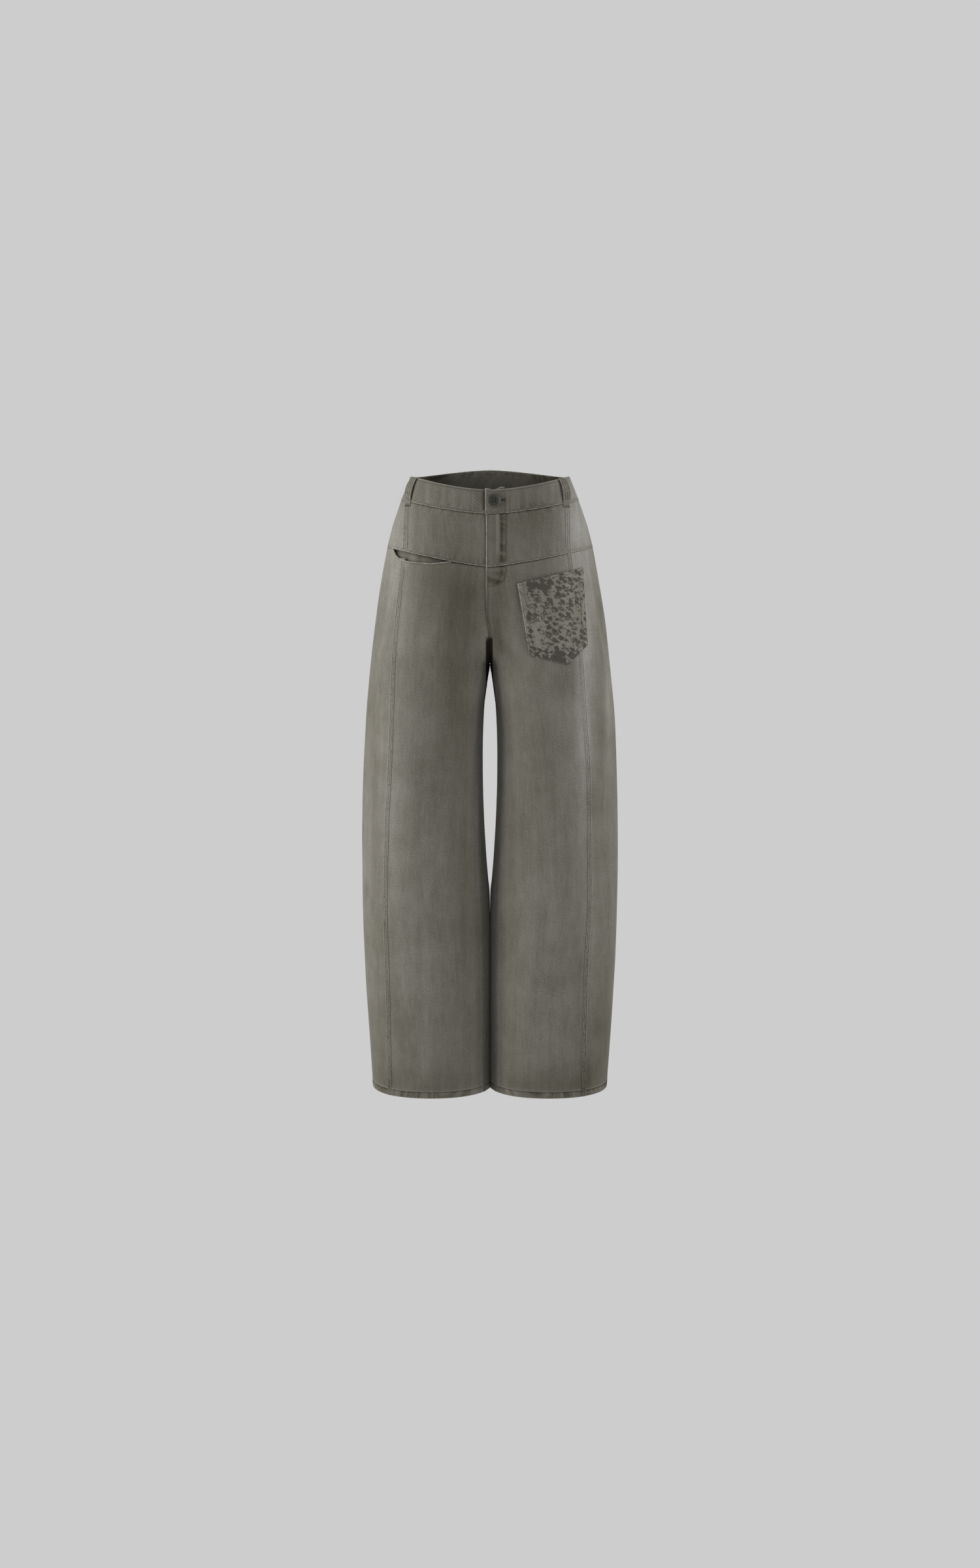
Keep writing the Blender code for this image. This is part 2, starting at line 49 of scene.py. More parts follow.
ALL_ROUND_LIGHT = 0.42
FLOOR_HEIGHT = -1.32
FLOOR_REACH = 30.0
SoftBox = namedtuple("SoftBox", "name place aim width height power")
SOFT_BOXES = [
    SoftBox("soft_box_right", (-1.75, -0.55, -0.30), (0.0, 0.05, -0.52), 0.9, 2.2, 38.0),
    SoftBox("soft_box_left", (1.75, -0.55, -0.30), (0.0, 0.05, -0.52), 0.9, 2.2, 23.0),
    SoftBox("soft_box_back", (0.0, 3.0, 0.60), (0.0, 0.0, -0.50), 2.0, 2.0, 16.0),
]


def aim_at(thing, place, target):
    thing.location = place
    thing.rotation_euler = (Vector(target) - Vector(place)).to_track_quat("-Z", "Y").to_euler()


def feed(tree, socket, source):
    """A socket gets a value, or a link from another node's output."""
    if isinstance(source, bpy.types.NodeSocket):
        tree.links.new(source, socket)
    else:
        socket.default_value = source


def add_node(tree, kind, inputs=None, **settings):
    """A node with its settings, and with a value or another node's output for its inputs."""
    node = tree.nodes.new(kind)
    for word, value in settings.items():
        setattr(node, word, value)
    for socket, source in (inputs or {}).items():
        feed(tree, node.inputs[socket], source)
    return node


scene = bpy.context.scene
scene.view_settings.view_transform = "Standard"
camera_data = bpy.data.cameras.new("camera")
camera_data.lens = CAMERA_LENS
camera_data.sensor_width = 36.0
camera_data.clip_end = 100.0
camera = bpy.data.objects.new("camera", camera_data)
camera.location = CAMERA_PLACE
camera.rotation_euler = (math.radians(90.0 - CAMERA_TILT), 0.0, 0.0)
scene.collection.objects.link(camera)
scene.camera = camera

for box in SOFT_BOXES:
    lamp = bpy.data.lights.new(box.name, "AREA")
    lamp.shape = "RECTANGLE"
    lamp.size = box.width
    lamp.size_y = box.height
    lamp.energy = box.power
    stand = bpy.data.objects.new(box.name, lamp)
    aim_at(stand, box.place, box.aim)
    scene.collection.objects.link(stand)

studio_air = bpy.data.worlds.new("studio_air")
studio_air.use_nodes = True
air = studio_air.node_tree
air.nodes.clear()
seen = add_node(air, "ShaderNodeBackground", {"Color": STUDIO_GREY})
felt = add_node(air, "ShaderNodeBackground", {"Color": (1.0, 1.0, 1.0, 1.0), "Strength": ALL_ROUND_LIGHT})
ray = add_node(air, "ShaderNodeLightPath").outputs["Is Camera Ray"]
either = add_node(air, "ShaderNodeMixShader", {0: ray, 1: felt.outputs[0], 2: seen.outputs[0]})
add_node(air, "ShaderNodeOutputWorld", {"Surface": either.outputs[0]})
scene.world = studio_air

floor_paint = bpy.data.materials.new("studio_floor")
floor_paint.use_nodes = True
paint_tree = floor_paint.node_tree
paint_tree.nodes.clear()
glow = add_node(paint_tree, "ShaderNodeEmission", {"Color": STUDIO_GREY})
add_node(paint_tree, "ShaderNodeOutputMaterial", {"Surface": glow.outputs[0]})
bpy.ops.mesh.primitive_plane_add(size=2 * FLOOR_REACH, location=(0.0, 0.0, FLOOR_HEIGHT))
floor = bpy.context.active_object
floor.name = "studio_floor"
floor.data.materials.append(floor_paint)
floor.visible_diffuse = False
floor.visible_glossy = False
floor.visible_shadow = False


# The four leg panels: washed cotton twill, cut so full that the back panels wrap round to the
# front.  They follow one trouser surface, a stack of rounded rings that is one for each leg,
# and hang in soft folds from the yokes to a turned hem.
CROTCH_HEIGHT = -0.289
HEM_HEIGHT = -1.010
HEM_TURN = 0.0105
HEM_WALL = 0.0030
WALL = 0.0016
LEG_POWER = 2.2
WAIST_POWER = 2.6
CROTCH_POWER = 0.85
CROTCH_REACH = 0.090
SWING_TOP = -0.120
SWING_DEPTH = 0.400
LEG_CLEARANCE = 0.0004
CONTACT_SOFTNESS = 0.0015
CONTACT_TOP = -0.580
CONTACT_FADE = 0.040
INSEAM_FORWARD = 19.0
INSEAM_FORWARD_LOW = 9.0
FLY_LAP = 0.006
FLY_END = -0.190
FLY_RUN_OUT = 0.060
YOKE_FRONT = -0.128
YOKE_SIDE = -0.095
YOKE_BACK = -0.122
SIDES = ((-1, "right"), (1, "left"))

# Small steps, in radians and metres, by which the surface's directions are measured
TURN = 1e-3
RISE = 1e-4
SETTLING_ROUNDS = 6

# The rings, in metres from the waist: the outer and inner side of a leg, its depth to the
# front and the back, and how far from the centre line the side seams lie on the front
Section = namedtuple("Section", "height outer inner front back seam_right seam_left")
SECTIONS = [
    Section(0.045, 0.1190, -0.1190, 0.0900, 0.0900, 0.1110, 0.1060),
    Section(0.019, 0.1305, -0.1305, 0.0940, 0.0950, 0.1225, 0.1165),
    Section(0.000, 0.1385, -0.1385, 0.0970, 0.0990, 0.1300, 0.1230),
    Section(-0.030, 0.1495, -0.1495, 0.1010, 0.1050, 0.1375, 0.1285),
    Section(-0.060, 0.1600, -0.1600, 0.1055, 0.1120, 0.1400, 0.1300),
    Section(-0.095, 0.1690, -0.1690, 0.1100, 0.1200, 0.1412, 0.1305),
    Section(-0.130, 0.1760, -0.1740, 0.1130, 0.1270, 0.1440, 0.1340),
    Section(-0.165, 0.1822, -0.1630, 0.1145, 0.1310, 0.1480, 0.1390),
    Section(-0.200, 0.1878, -0.1280, 0.1145, 0.1310, 0.1520, 0.1432),
    Section(-0.230, 0.1918, -0.0820, 0.1135, 0.1285, 0.1552, 0.1470),
    Section(-0.258, 0.1948, -0.0360, 0.1120, 0.1245, 0.1578, 0.1498),
    Section(-0.289, 0.1980, 0.0004, 0.1100, 0.1200, 0.1598, 0.1525),
    Section(-0.297, 0.1989, 0.0018, 0.1095, 0.1190, 0.1602, 0.1530),
    Section(-0.316, 0.2010, 0.0050, 0.1084, 0.1165, 0.1610, 0.1543),
    Section(-0.340, 0.2035, 0.0077, 0.1070, 0.1140, 0.1620, 0.1560),
    Section(-0.400, 0.2085, 0.0114, 0.1045, 0.1085, 0.1648, 0.1605),
    Section(-0.470, 0.2128, 0.0121, 0.1020, 0.1040, 0.1682, 0.1650),
    Section(-0.550, 0.2150, 0.0098, 0.0995, 0.1000, 0.1728, 0.1668),
    Section(-0.620, 0.2157, 0.0056, 0.0980, 0.0975, 0.1755, 0.1682),
    Section(-0.690, 0.2154, -0.0002, 0.0965, 0.0955, 0.1771, 0.1687),
    Section(-0.780, 0.2133, -0.0024, 0.0945, 0.0935, 0.1748, 0.1640),
    Section(-0.900, 0.2072, -0.0030, 0.0920, 0.0915, 0.1724, 0.1612),
    Section(-1.010, 0.2005, -0.0030, 0.0900, 0.0900, 0.1710, 0.1600),
]

# The slit pocket in the right yoke seam: how far the lower lip hangs below the seam
Lip = namedtuple("Lip", "across drop")
SLIT = [
    Lip(0.0610, 0.0000),
    Lip(0.0722, 0.0040),
    Lip(0.0944, 0.0104),
    Lip(0.1093, 0.0127),
    Lip(0.1280, 0.0152),
    Lip(0.1396, 0.0154),
    Lip(0.1474, 0.0133),
    Lip(0.1521, 0.0100),
    Lip(0.1590, 0.0000),
]
LIP_STAND_OFF = 0.12
LIP_FADE = 0.020

# The folds, each along a line from its top to its low end.  Turns are in degrees round the
# leg, -90 at the front, 0 at the side and 90 at the back, and a trough has a negative height.
Fold = namedtuple("Fold", "side turn_top top turn_low low width rise")
FOLDS = [
    Fold(-1, -36, -0.105, -40, -0.400, 0.011, 0.0016),
    Fold(-1, -25, -0.090, -30, -0.330, 0.009, -0.0018),
    Fold(-1, -13, -0.060, -18, -0.470, 0.012, 0.0019),
    Fold(-1, -68, -0.150, -72, -0.330, 0.018, -0.0012),
    Fold(-1, -104, -0.170, -128, -0.330, 0.013, -0.0016),
    Fold(-1, -116, -0.235, -146, -0.335, 0.007, 0.0012),
    Fold(-1, -82, -0.420, -96, -0.720, 0.022, 0.0016),
    Fold(-1, -60, -0.520, -66, -0.900, 0.018, -0.0014),
    Fold(-1, -112, -0.640, -104, -0.960, 0.014, 0.0012),
    Fold(-1, -24, -0.560, -20, -0.900, 0.013, 0.0016),
    Fold(-1, -46, -0.930, -41, -0.990, 0.010, -0.0018),
    Fold(-1, -84, -0.900, -78, -0.995, 0.015, -0.0013),
    Fold(1, -32, -0.100, -27, -0.360, 0.009, 0.0018),
    Fold(1, -22, -0.075, -20, -0.440, 0.008, -0.0021),
    Fold(1, -11, -0.050, -12, -0.520, 0.012, 0.0021),
    Fold(1, -100, -0.180, -122, -0.350, 0.014, -0.0018),
    Fold(1, -122, -0.225, -150, -0.325, 0.007, 0.0012),
    Fold(1, -76, -0.400, -88, -0.680, 0.024, 0.0014),
    Fold(1, -62, -0.500, -58, -0.860, 0.018, -0.0013),
    Fold(1, -106, -0.600, -112, -0.940, 0.016, 0.0013),
    Fold(1, -30, -0.610, -26, -0.930, 0.012, 0.0014),
    Fold(1, -72, -0.900, -80, -0.995, 0.016, -0.0014),
    Fold(-1, 8, -0.140, 4, -0.520, 0.014, -0.0018),
    Fold(-1, 26, -0.200, 20, -0.620, 0.016, 0.0022),
    Fold(-1, 62, -0.240, 118, -0.315, 0.010, 0.0030),
    Fold(-1, 70, -0.275, 128, -0.345, 0.011, -0.0028),
    Fold(-1, 84, -0.330, 96, -0.700, 0.016, 0.0024),
    Fold(-1, 50, -0.520, 112, -0.570, 0.018, -0.0014),
    Fold(-1, 46, -0.565, 108, -0.625, 0.018, 0.0015),
    Fold(-1, 48, -0.600, 44, -0.950, 0.018, 0.0022),
    Fold(-1, 112, -0.620, 118, -0.960, 0.014, -0.0018),
    Fold(1, 6, -0.120, 9, -0.480, 0.013, -0.0020),
    Fold(1, 24, -0.180, 28, -0.660, 0.017, 0.0022),
    Fold(1, 66, -0.232, 122, -0.322, 0.011, 0.0028),
    Fold(1, 74, -0.282, 130, -0.352, 0.010, -0.0026),
    Fold(1, 92, -0.350, 84, -0.740, 0.017, 0.0022),
    Fold(1, 42, -0.500, 104, -0.555, 0.018, 0.0014),
    Fold(1, 48, -0.545, 116, -0.600, 0.018, -0.0015),
    Fold(1, 54, -0.640, 60, -0.960, 0.016, -0.0018),
    Fold(1, 106, -0.600, 100, -0.970, 0.015, 0.0020),
    Fold(-1, -97, -0.130, -112, -0.330, 0.026, -0.0050),
    Fold(1, -97, -0.130, -112, -0.330, 0.024, -0.0040),
]

# Painted shade in soft patches, or painted light where the amount is below zero, standing in
# for the light and shade across the legs: how far from the centre line and how high, how wide and how tall,
# and how much
PaintedPatch = namedtuple("PaintedPatch", "side across height width tall amount")
PAINTED_PATCHES = [
    PaintedPatch(-1, 0.150, -0.110, 0.022, 0.120, -0.62),
    PaintedPatch(-1, 0.156, -0.470, 0.034, 0.260, -0.32),
    PaintedPatch(-1, 0.076, -0.145, 0.040, 0.050, 0.34),
    PaintedPatch(-1, 0.040, -0.185, 0.042, 0.070, 0.42),
    PaintedPatch(-1, 0.060, -0.275, 0.034, 0.090, 0.26),
    PaintedPatch(-1, 0.045, -0.360, 0.022, 0.100, 0.18),
    PaintedPatch(-1, 0.044, -0.620, 0.020, 0.170, 0.30),
    PaintedPatch(-1, 0.020, -0.440, 0.012, 0.120, -0.40),
    PaintedPatch(-1, 0.075, -0.420, 0.020, 0.060, 0.20),
    PaintedPatch(-1, 0.100, -0.580, 0.026, 0.070, -0.22),
    PaintedPatch(-1, 0.164, -0.580, 0.012, 0.160, -0.16),
    PaintedPatch(-1, 0.190, -0.500, 0.008, 0.300, 0.20),
    PaintedPatch(-1, 0.112, -0.820, 0.028, 0.150, -0.20),
    PaintedPatch(-1, 0.165, -0.830, 0.018, 0.045, 0.16),
    PaintedPatch(-1, 0.200, -0.960, 0.030, 0.100, 0.26),
    PaintedPatch(-1, 0.100, -0.995, 0.090, 0.038, 0.28),
    PaintedPatch(-1, 0.168, -0.985, 0.014, 0.050, 0.22),
    PaintedPatch(-1, 0.004, -0.760, 0.006, 0.130, -0.45),
    PaintedPatch(1, 0.143, -0.070, 0.028, 0.115, -1.20),
    PaintedPatch(1, 0.153, -0.270, 0.016, 0.130, -0.95),
    PaintedPatch(1, 0.152, -0.460, 0.014, 0.170, -0.62),
    PaintedPatch(1, 0.182, -0.420, 0.008, 0.160, 0.16),
    PaintedPatch(1, 0.196, -0.350, 0.007, 0.090, -0.60),
    PaintedPatch(1, 0.130, -0.400, 0.030, 0.120, -0.20),
    PaintedPatch(1, 0.014, -0.090, 0.012, 0.070, 0.30),
    PaintedPatch(1, 0.065, -0.045, 0.036, 0.034, 0.18),
    PaintedPatch(1, 0.010, -0.235, 0.014, 0.070, 0.40),
    PaintedPatch(1, 0.172, -0.680, 0.014, 0.120, -0.30),
    PaintedPatch(1, 0.195, -0.920, 0.034, 0.130, 0.34),
    PaintedPatch(1, 0.100, -0.720, 0.060, 0.150, -0.14),
    PaintedPatch(1, 0.105, -0.875, 0.036, 0.045, -0.26),
    PaintedPatch(1, 0.018, -0.560, 0.012, 0.200, -0.28),
    PaintedPatch(1, 0.110, -0.995, 0.100, 0.038, 0.30),
    PaintedPatch(1, 0.160, -0.985, 0.014, 0.050, 0.34),
    PaintedPatch(1, 0.006, -0.800, 0.009, 0.190, -0.50),
]
BACK_PAINTED_PATCH_FADE = 0.65
MARK_RANGE = (-1.6, 1.32)
THINNEST = 0.0003


def smooth_step(value):
    value = np.clip(value, 0.0, 1.0)
    return value * value * (3.0 - 2.0 * value)


def bell(distance, width):
    return np.exp(-((distance / width) ** 2))


def unevenness(distance, pitch, seed):
    """Smooth random values from -1 to 1 along a seam, a new one at every pitch."""
    values = np.random.default_rng(seed).uniform(-1.0, 1.0, 4096)
    place = np.asarray(distance) / pitch
    low = np.floor(place).astype(int)
    share = smooth_step(place - low)
    return values[low % 4096] * (1.0 - share) + values[(low + 1) % 4096] * share


def column(name):
    """A smooth curve down the garment through one column of the table."""
    rows = SECTIONS[::-1]
    heights = np.array([row.height for row in rows])
    values = np.array([getattr(row, name) for row in rows])
    slopes = np.gradient(values, heights)

    def at(height):
        height = np.asarray(height, float)
        low = np.clip(np.searchsorted(heights, height) - 1, 0, len(heights) - 2)
        span = heights[low + 1] - heights[low]
        t = (height - heights[low]) / span
        start = (2 * t**3 - 3 * t**2 + 1) * values[low] + (t**3 - 2 * t**2 + t) * span * slopes[low]
        end = (3 * t**2 - 2 * t**3) * values[low + 1] + (t**3 - t**2) * span * slopes[low + 1]
        return start + end

    return at


OUTER = column("outer")
INNER = column("inner")
FRONT = column("front")
BACK = column("back")
SEAM = {-1: column("seam_right"), 1: column("seam_left")}


def outer_power(height):
    return LEG_POWER + (WAIST_POWER - LEG_POWER) * smooth_step((height + 0.20) / 0.20)


def inner_power(height):
    return outer_power(height) + CROTCH_POWER * bell(height - CROTCH_HEIGHT, CROTCH_REACH)


def ring(angle, height):
    """A point of the wearer's left side.  -90 degrees is the front, 0 the side, 90 the back."""
    angle, height = np.broadcast_arrays(np.asarray(angle, float), np.asarray(height, float))
    middle = (OUTER(height) + INNER(height)) / 2
    half = (OUTER(height) - INNER(height)) / 2
    cosine = np.cos(angle)
    sine = np.sin(angle)
    power = np.where(cosine >= 0, outer_power(height), inner_power(height))
    depth = np.where(sine < 0, FRONT(height), BACK(height))
    x = middle + half * np.sign(cosine) * np.abs(cosine) ** (2 / power)
    y = depth * np.sign(sine) * np.abs(sine) ** (2 / power)
    # Low down the legs press flat against each other at the centre line
    contact = np.clip((CONTACT_TOP - height) / CONTACT_FADE, 0.0, 1.0)
    beyond = x - LEG_CLEARANCE
    pressed = LEG_CLEARANCE + (beyond + np.sqrt(beyond**2 + CONTACT_SOFTNESS**2)) / 2
    x = x + (pressed - x) * contact
    return np.stack([x, y, height], axis=-1)


def surface(side, angle, height):
    return ring(angle, height) * np.array([side, 1.0, 1.0])


def normal(side, angle, height):
    around = ring(angle + TURN, height) - ring(angle - TURN, height)
    upward = ring(angle, height + RISE) - ring(angle, height - RISE)
    outward = np.cross(around, upward)
    outward /= np.linalg.norm(outward, axis=-1, keepdims=True)
    return outward * np.array([side, 1.0, 1.0])


def lifted(side, angle, height, lift):
    """A point of the trouser surface, moved out along its normal."""
    return surface(side, angle, height) + normal(side, angle, height) * np.asarray(lift)[..., None]


def angle_at(across, height, towards=-1):
    """The angle at a distance from the centre line, on the front (-1) or the back (1)."""
    middle = (OUTER(height) + INNER(height)) / 2
    half = (OUTER(height) - INNER(height)) / 2
    share = np.clip((across - middle) / half, -1.0, 1.0)
    power = np.where(share >= 0, outer_power(height), inner_power(height))
    return towards * np.arccos(np.sign(share) * np.abs(share) ** (power / 2))


def speed(angle, height):
    """Metres of cloth round the ring for each radian."""
    around = ring(angle + TURN, height) - ring(angle - TURN, height)
    return np.linalg.norm(around, axis=-1) / (2 * TURN)


def inseam(height):
    below = smooth_step((CROTCH_HEIGHT - height) / 0.12)
    low = smooth_step((-0.45 - height) / 0.25)
    return np.radians(INSEAM_FORWARD * below + INSEAM_FORWARD_LOW * low)


def front_centre(side, height):
    lap = FLY_LAP * smooth_step((height - (FLY_END - FLY_RUN_OUT)) / FLY_RUN_OUT)
    cut = angle_at(-side * lap, height)
    return np.where(height > CROTCH_HEIGHT, cut, -math.pi + inseam(height))


def back_centre(side, height):
    return np.where(height > CROTCH_HEIGHT, angle_at(0.0, height, 1), math.pi + inseam(height))


def side_seam(side, height):
    return angle_at(SEAM[side](height), height)


def spread(share, near, slow, far):
    """Columns from the centre edge to the far edge.  Where the centre edge swings round to the
    inseam, the columns next to it take up the swing and the rest hardly move."""
    return slow + (far - slow) * share + (near - slow) * (1.0 - share) ** 3


def front_angle(side, share, height):
    swing = smooth_step((SWING_TOP - height) / SWING_DEPTH)
    slow = -math.pi / 2 + (inseam(height) - math.pi / 2) * swing
    return spread(share, front_centre(side, height), slow, side_seam(side, height))


def back_angle(side, share, height):
    swing = smooth_step((SWING_TOP - height) / SWING_DEPTH)
    slow = math.pi / 2 + (inseam(height) + math.pi / 2) * swing
    return spread(1.0 - share, back_centre(side, height), slow, side_seam(side, height))


def level(angle, front, beside, back, power):
    """A seam's height round the body, from its heights at the front, the side and the back."""
    end = np.where(np.sin(angle) < 0, front, back)
    return end + (beside - end) * np.abs(np.cos(angle)) ** power


def yoke_seam(angle):
    return level(angle, YOKE_FRONT, YOKE_SIDE, YOKE_BACK, 1.1)


def slit_drop(across):
    return np.interp(across, [lip.across for lip in SLIT], [lip.drop for lip in SLIT])


def settle(angle_of, height_of, shares):
    """The heights of a seam at each column, on angles that themselves change with height."""
    heights = np.full_like(shares, YOKE_SIDE)
    for _ in range(SETTLING_ROUNDS):
        heights = height_of(angle_of(shares, heights))
    return heights


def drape(side, angle, height):
    """How far the folds lift the cloth off the trouser surface."""
    angle, height = np.broadcast_arrays(angle, height)
    pace = speed(angle, height)
    lift = 0.0002 * unevenness(angle * pace + 0.4 * height, 0.034, 11 + side)
    lift += 0.0002 * unevenness(height - 0.5 * angle * pace, 0.052, 14 + side)
    for fold in FOLDS:
        if fold.side != side:
            continue
        down = (height - fold.top) / (fold.low - fold.top)
        turn = np.radians(fold.turn_top + (fold.turn_low - fold.turn_top) * np.clip(down, 0, 1))
        ends = smooth_step(down / 0.35) * smooth_step((1.0 - down) / 0.35)
        lift += fold.rise * ends * bell((angle - turn) * pace, fold.width)
    # The folds die out where the legs lie against each other, and the cloth there closes up
    across = ring(angle, height)[..., 0]
    low = np.clip((CONTACT_TOP - height) / CONTACT_FADE, 0.0, 1.0)
    closed = low * smooth_step((0.0030 - across) / 0.0015)
    return lift * smooth_step((across - 0.003) / 0.020) + 0.0007 * closed


def painted_light_and_shade(side, angle, height):
    """How much painted shade, or painted light below zero, the patches give the cloth."""
    across = ring(angle, height)[..., 0]
    total = 0.0
    for patch in PAINTED_PATCHES:
        if patch.side == side:
            beside = bell(across - patch.across, patch.width)
            total = total + patch.amount * beside * bell(height - patch.height, patch.tall)
    # The photograph shows the front alone, and behind the same painted light and shade is fainter
    return total * (1.0 - BACK_PAINTED_PATCH_FADE * smooth_step((np.sin(angle) - 0.15) / 0.5))


def grid_faces(rows, columns, first=0, turned=False):
    corner = (np.arange(rows - 1)[:, None] * columns + np.arange(columns - 1)[None, :]).ravel() + first
    order = (0, 1, columns + 1, columns) if turned else (0, columns, columns + 1, 1)
    return np.stack([corner + step for step in order], axis=1)


def wall_faces(rows, columns):
    """A closed wall: a grid outside, the same grid inside, and the rim that joins them."""
    count = rows * columns
    rim = [(i, 0) for i in range(rows)] + [(rows - 1, j) for j in range(1, columns)]
    rim += [(i, columns - 1) for i in range(rows - 2, -1, -1)]
    rim += [(0, j) for j in range(columns - 2, 0, -1)]
    rim = np.array([i * columns + j for i, j in rim])
    ahead = np.roll(rim, -1)
    return np.concatenate([grid_faces(rows, columns), grid_faces(rows, columns, count, True),
                           np.stack([ahead, rim, rim + count, ahead + count], axis=1)])


def add_cloth(name, points, faces, places, marks, finish, outward):
    """The finished mesh, with its place on the cloth as a UV map, and its wear and its painted light and
    shade as attributes.
    """
    first = points[faces[len(faces) // 3][:4]]
    facing = np.cross(first[1] - first[0], first[2] - first[0])
    if np.dot(facing, outward[len(faces) // 3]) < 0:
        faces = [face[::-1] for face in faces]
    mesh = bpy.data.meshes.new(name)
    mesh.from_pydata(points.tolist(), [], [list(map(int, face)) for face in faces])
    corners = np.zeros(len(mesh.loops), int)
    mesh.loops.foreach_get("vertex_index", corners)
    mesh.uv_layers.new(name="cloth").data.foreach_set("uv", places[corners].ravel())
    for word, values in marks.items():
        layer = mesh.attributes.new(word, "FLOAT", "POINT")
        layer.data.foreach_set("value", np.clip(values, *MARK_RANGE).astype(np.float32))
    mesh.shade_smooth()
    mesh.set_sharp_from_angle(angle=math.radians(60))
    mesh.materials.append(finish)
    piece = bpy.data.objects.new(name, mesh)
    bpy.context.scene.collection.objects.link(piece)
    return piece


def cloth_wall(name, side, angles, heights, lift, wall, wear, shade, finish, plumb=0, inside_marks=None):
    """One cloth piece: a closed wall whose two faces both follow the trouser surface.  The
    grain of the cloth runs along its plumb column."""
    direction = normal(side, angles, heights)
    outside = surface(side, angles, heights) + direction * lift[..., None]
    inside = outside - direction * wall[..., None]
    rows, columns = angles.shape
    faces = wall_faces(rows, columns)
    steps = np.linalg.norm(np.diff(outside, axis=1), axis=2)
    along = np.concatenate([np.zeros((rows, 1)), np.cumsum(steps, axis=1)], axis=1)
    along = along - along[:, plumb][:, None]
    places = np.stack([side * along, heights], axis=-1).reshape(-1, 2)
    inside_wear, inside_shade = (wear, shade) if inside_marks is None else inside_marks
    marks = {"wear": (wear, inside_wear), "shade": (shade, inside_shade)}
    marks = {word: np.concatenate([np.broadcast_to(values, angles.shape).ravel() for values in pair])
             for word, pair in marks.items()}
    points = np.concatenate([outside.reshape(-1, 3), inside.reshape(-1, 3)])
    outward = direction.reshape(-1, 3)[np.minimum(faces[:, 0], rows * columns - 1)]
    return add_cloth(name, points, faces, np.tile(places, (2, 1)), marks, finish, outward)


def round_off(distance, radius):
    """How much of a wall's thickness goes from each face near a rounded edge."""
    share = np.clip(1.0 - distance / radius, 0.0, 1.0)
    return radius * (1.0 - np.sqrt(np.maximum(1.0 - share**2, 0.0)))


# Washed twill as a shader group: a fine diagonal, flecks, faint streaks down the cloth, soft
# patches from the wash, paler cloth where it is worn, and painted shade in seams and creases from the shade
# attribute, which paints light where it is below zero
def new_group(name, inputs, outputs):
    group = bpy.data.node_groups.new(name, "ShaderNodeTree")
    for word, kind, value in inputs:
        socket = group.interface.new_socket(word, in_out="INPUT", socket_type=kind)
        socket.default_value = value
    for word, kind in outputs:
        group.interface.new_socket(word, in_out="OUTPUT", socket_type=kind)
    return group, group.nodes.new("NodeGroupInput"), group.nodes.new("NodeGroupOutput")


def new_material(name, inputs):
    """A material whose Principled shader has these inputs, with its node tree and that shader."""
    material = bpy.data.materials.new(name)
    material.use_nodes = True
    shader = material.node_tree.nodes["Principled BSDF"]
    for word, value in inputs.items():
        shader.inputs[word].default_value = value
    return material, material.node_tree, shader


def sum_of(tree, operation, first, second=0.0, third=0.0):
    return add_node(tree, "ShaderNodeMath", {0: first, 1: second, 2: third}, operation=operation).outputs[0]


def around_zero(tree, source):
    return sum_of(tree, "SUBTRACT", source, 0.5)


def cloth_places(tree, along, down, turn=0.0):
    """The cloth's own UV map in metres, stretched and turned."""
    source = add_node(tree, "ShaderNodeUVMap", uv_map="cloth")
    turned = add_node(tree, "ShaderNodeMapping", {"Rotation": (0.0, 0.0, turn), "Vector": source.outputs[0]})
    stretch = {0: turned.outputs[0], 1: (along, down, 1.0)}
    return add_node(tree, "ShaderNodeVectorMath", stretch, operation="MULTIPLY").outputs[0]


def noise_over(tree, places, detail=2.0, roughness=0.5):
    inputs = {"Vector": places, "Scale": 1.0, "Detail": detail, "Roughness": roughness}
    return add_node(tree, "ShaderNodeTexNoise", inputs).outputs[0]


def mark(tree, word):
    return add_node(tree, "ShaderNodeAttribute", attribute_name=word).outputs["Fac"]


def mix_colours(tree, factor, first, second, **settings):
    inputs = {"Factor": factor, 6: first, 7: second}
    return add_node(tree, "ShaderNodeMix", inputs, data_type="RGBA", **settings).outputs[2]


TWILL_PITCH = 0.0019
washed, washed_in, washed_out = new_group(
    "washed_cloth",
    [("Dye", "NodeSocketColor", (0.13, 0.123, 0.104, 1.0)),
     ("Worn", "NodeSocketColor", (0.30, 0.29, 0.26, 1.0)),
     ("Twill", "NodeSocketFloat", 0.24),
     ("Flecks", "NodeSocketFloat", 1.25),
     ("Streaks", "NodeSocketFloat", 0.34),
     ("Patches", "NodeSocketFloat", 0.80)],
    [("Color", "NodeSocketColor"), ("Height", "NodeSocketFloat")])
pace = 2 * math.pi / 20 / TWILL_PITCH
lines = add_node(washed, "ShaderNodeTexWave", {
    "Scale": 1.0, "Distortion": 3.2, "Detail": 2.0, "Detail Scale": 0.35,
    "Vector": cloth_places(washed, pace, pace * 0.35, math.radians(42))})
twill = around_zero(washed, lines.outputs["Fac"])
fleck_places = cloth_places(washed, 760.0, 480.0, math.radians(30))
fleck = around_zero(washed, noise_over(washed, fleck_places, 2.0, 0.6))
slub = around_zero(washed, noise_over(washed, cloth_places(washed, 230.0, 34.0)))
streak = around_zero(washed, noise_over(washed, cloth_places(washed, 75.0, 5.0)))
body_places = add_node(washed, "ShaderNodeTexCoord").outputs["Object"]
patch_places = add_node(washed, "ShaderNodeVectorMath", {0: body_places, "Scale": 13.0}, operation="SCALE")
patch = around_zero(washed, noise_over(washed, patch_places.outputs[0], 6.0, 0.68))
tone = 1.0
for word, source in (("Twill", twill), ("Flecks", fleck), ("Streaks", slub), ("Streaks", streak),
                     ("Patches", patch)):
    tone = sum_of(washed, "MULTIPLY_ADD", source, washed_in.outputs[word], tone)
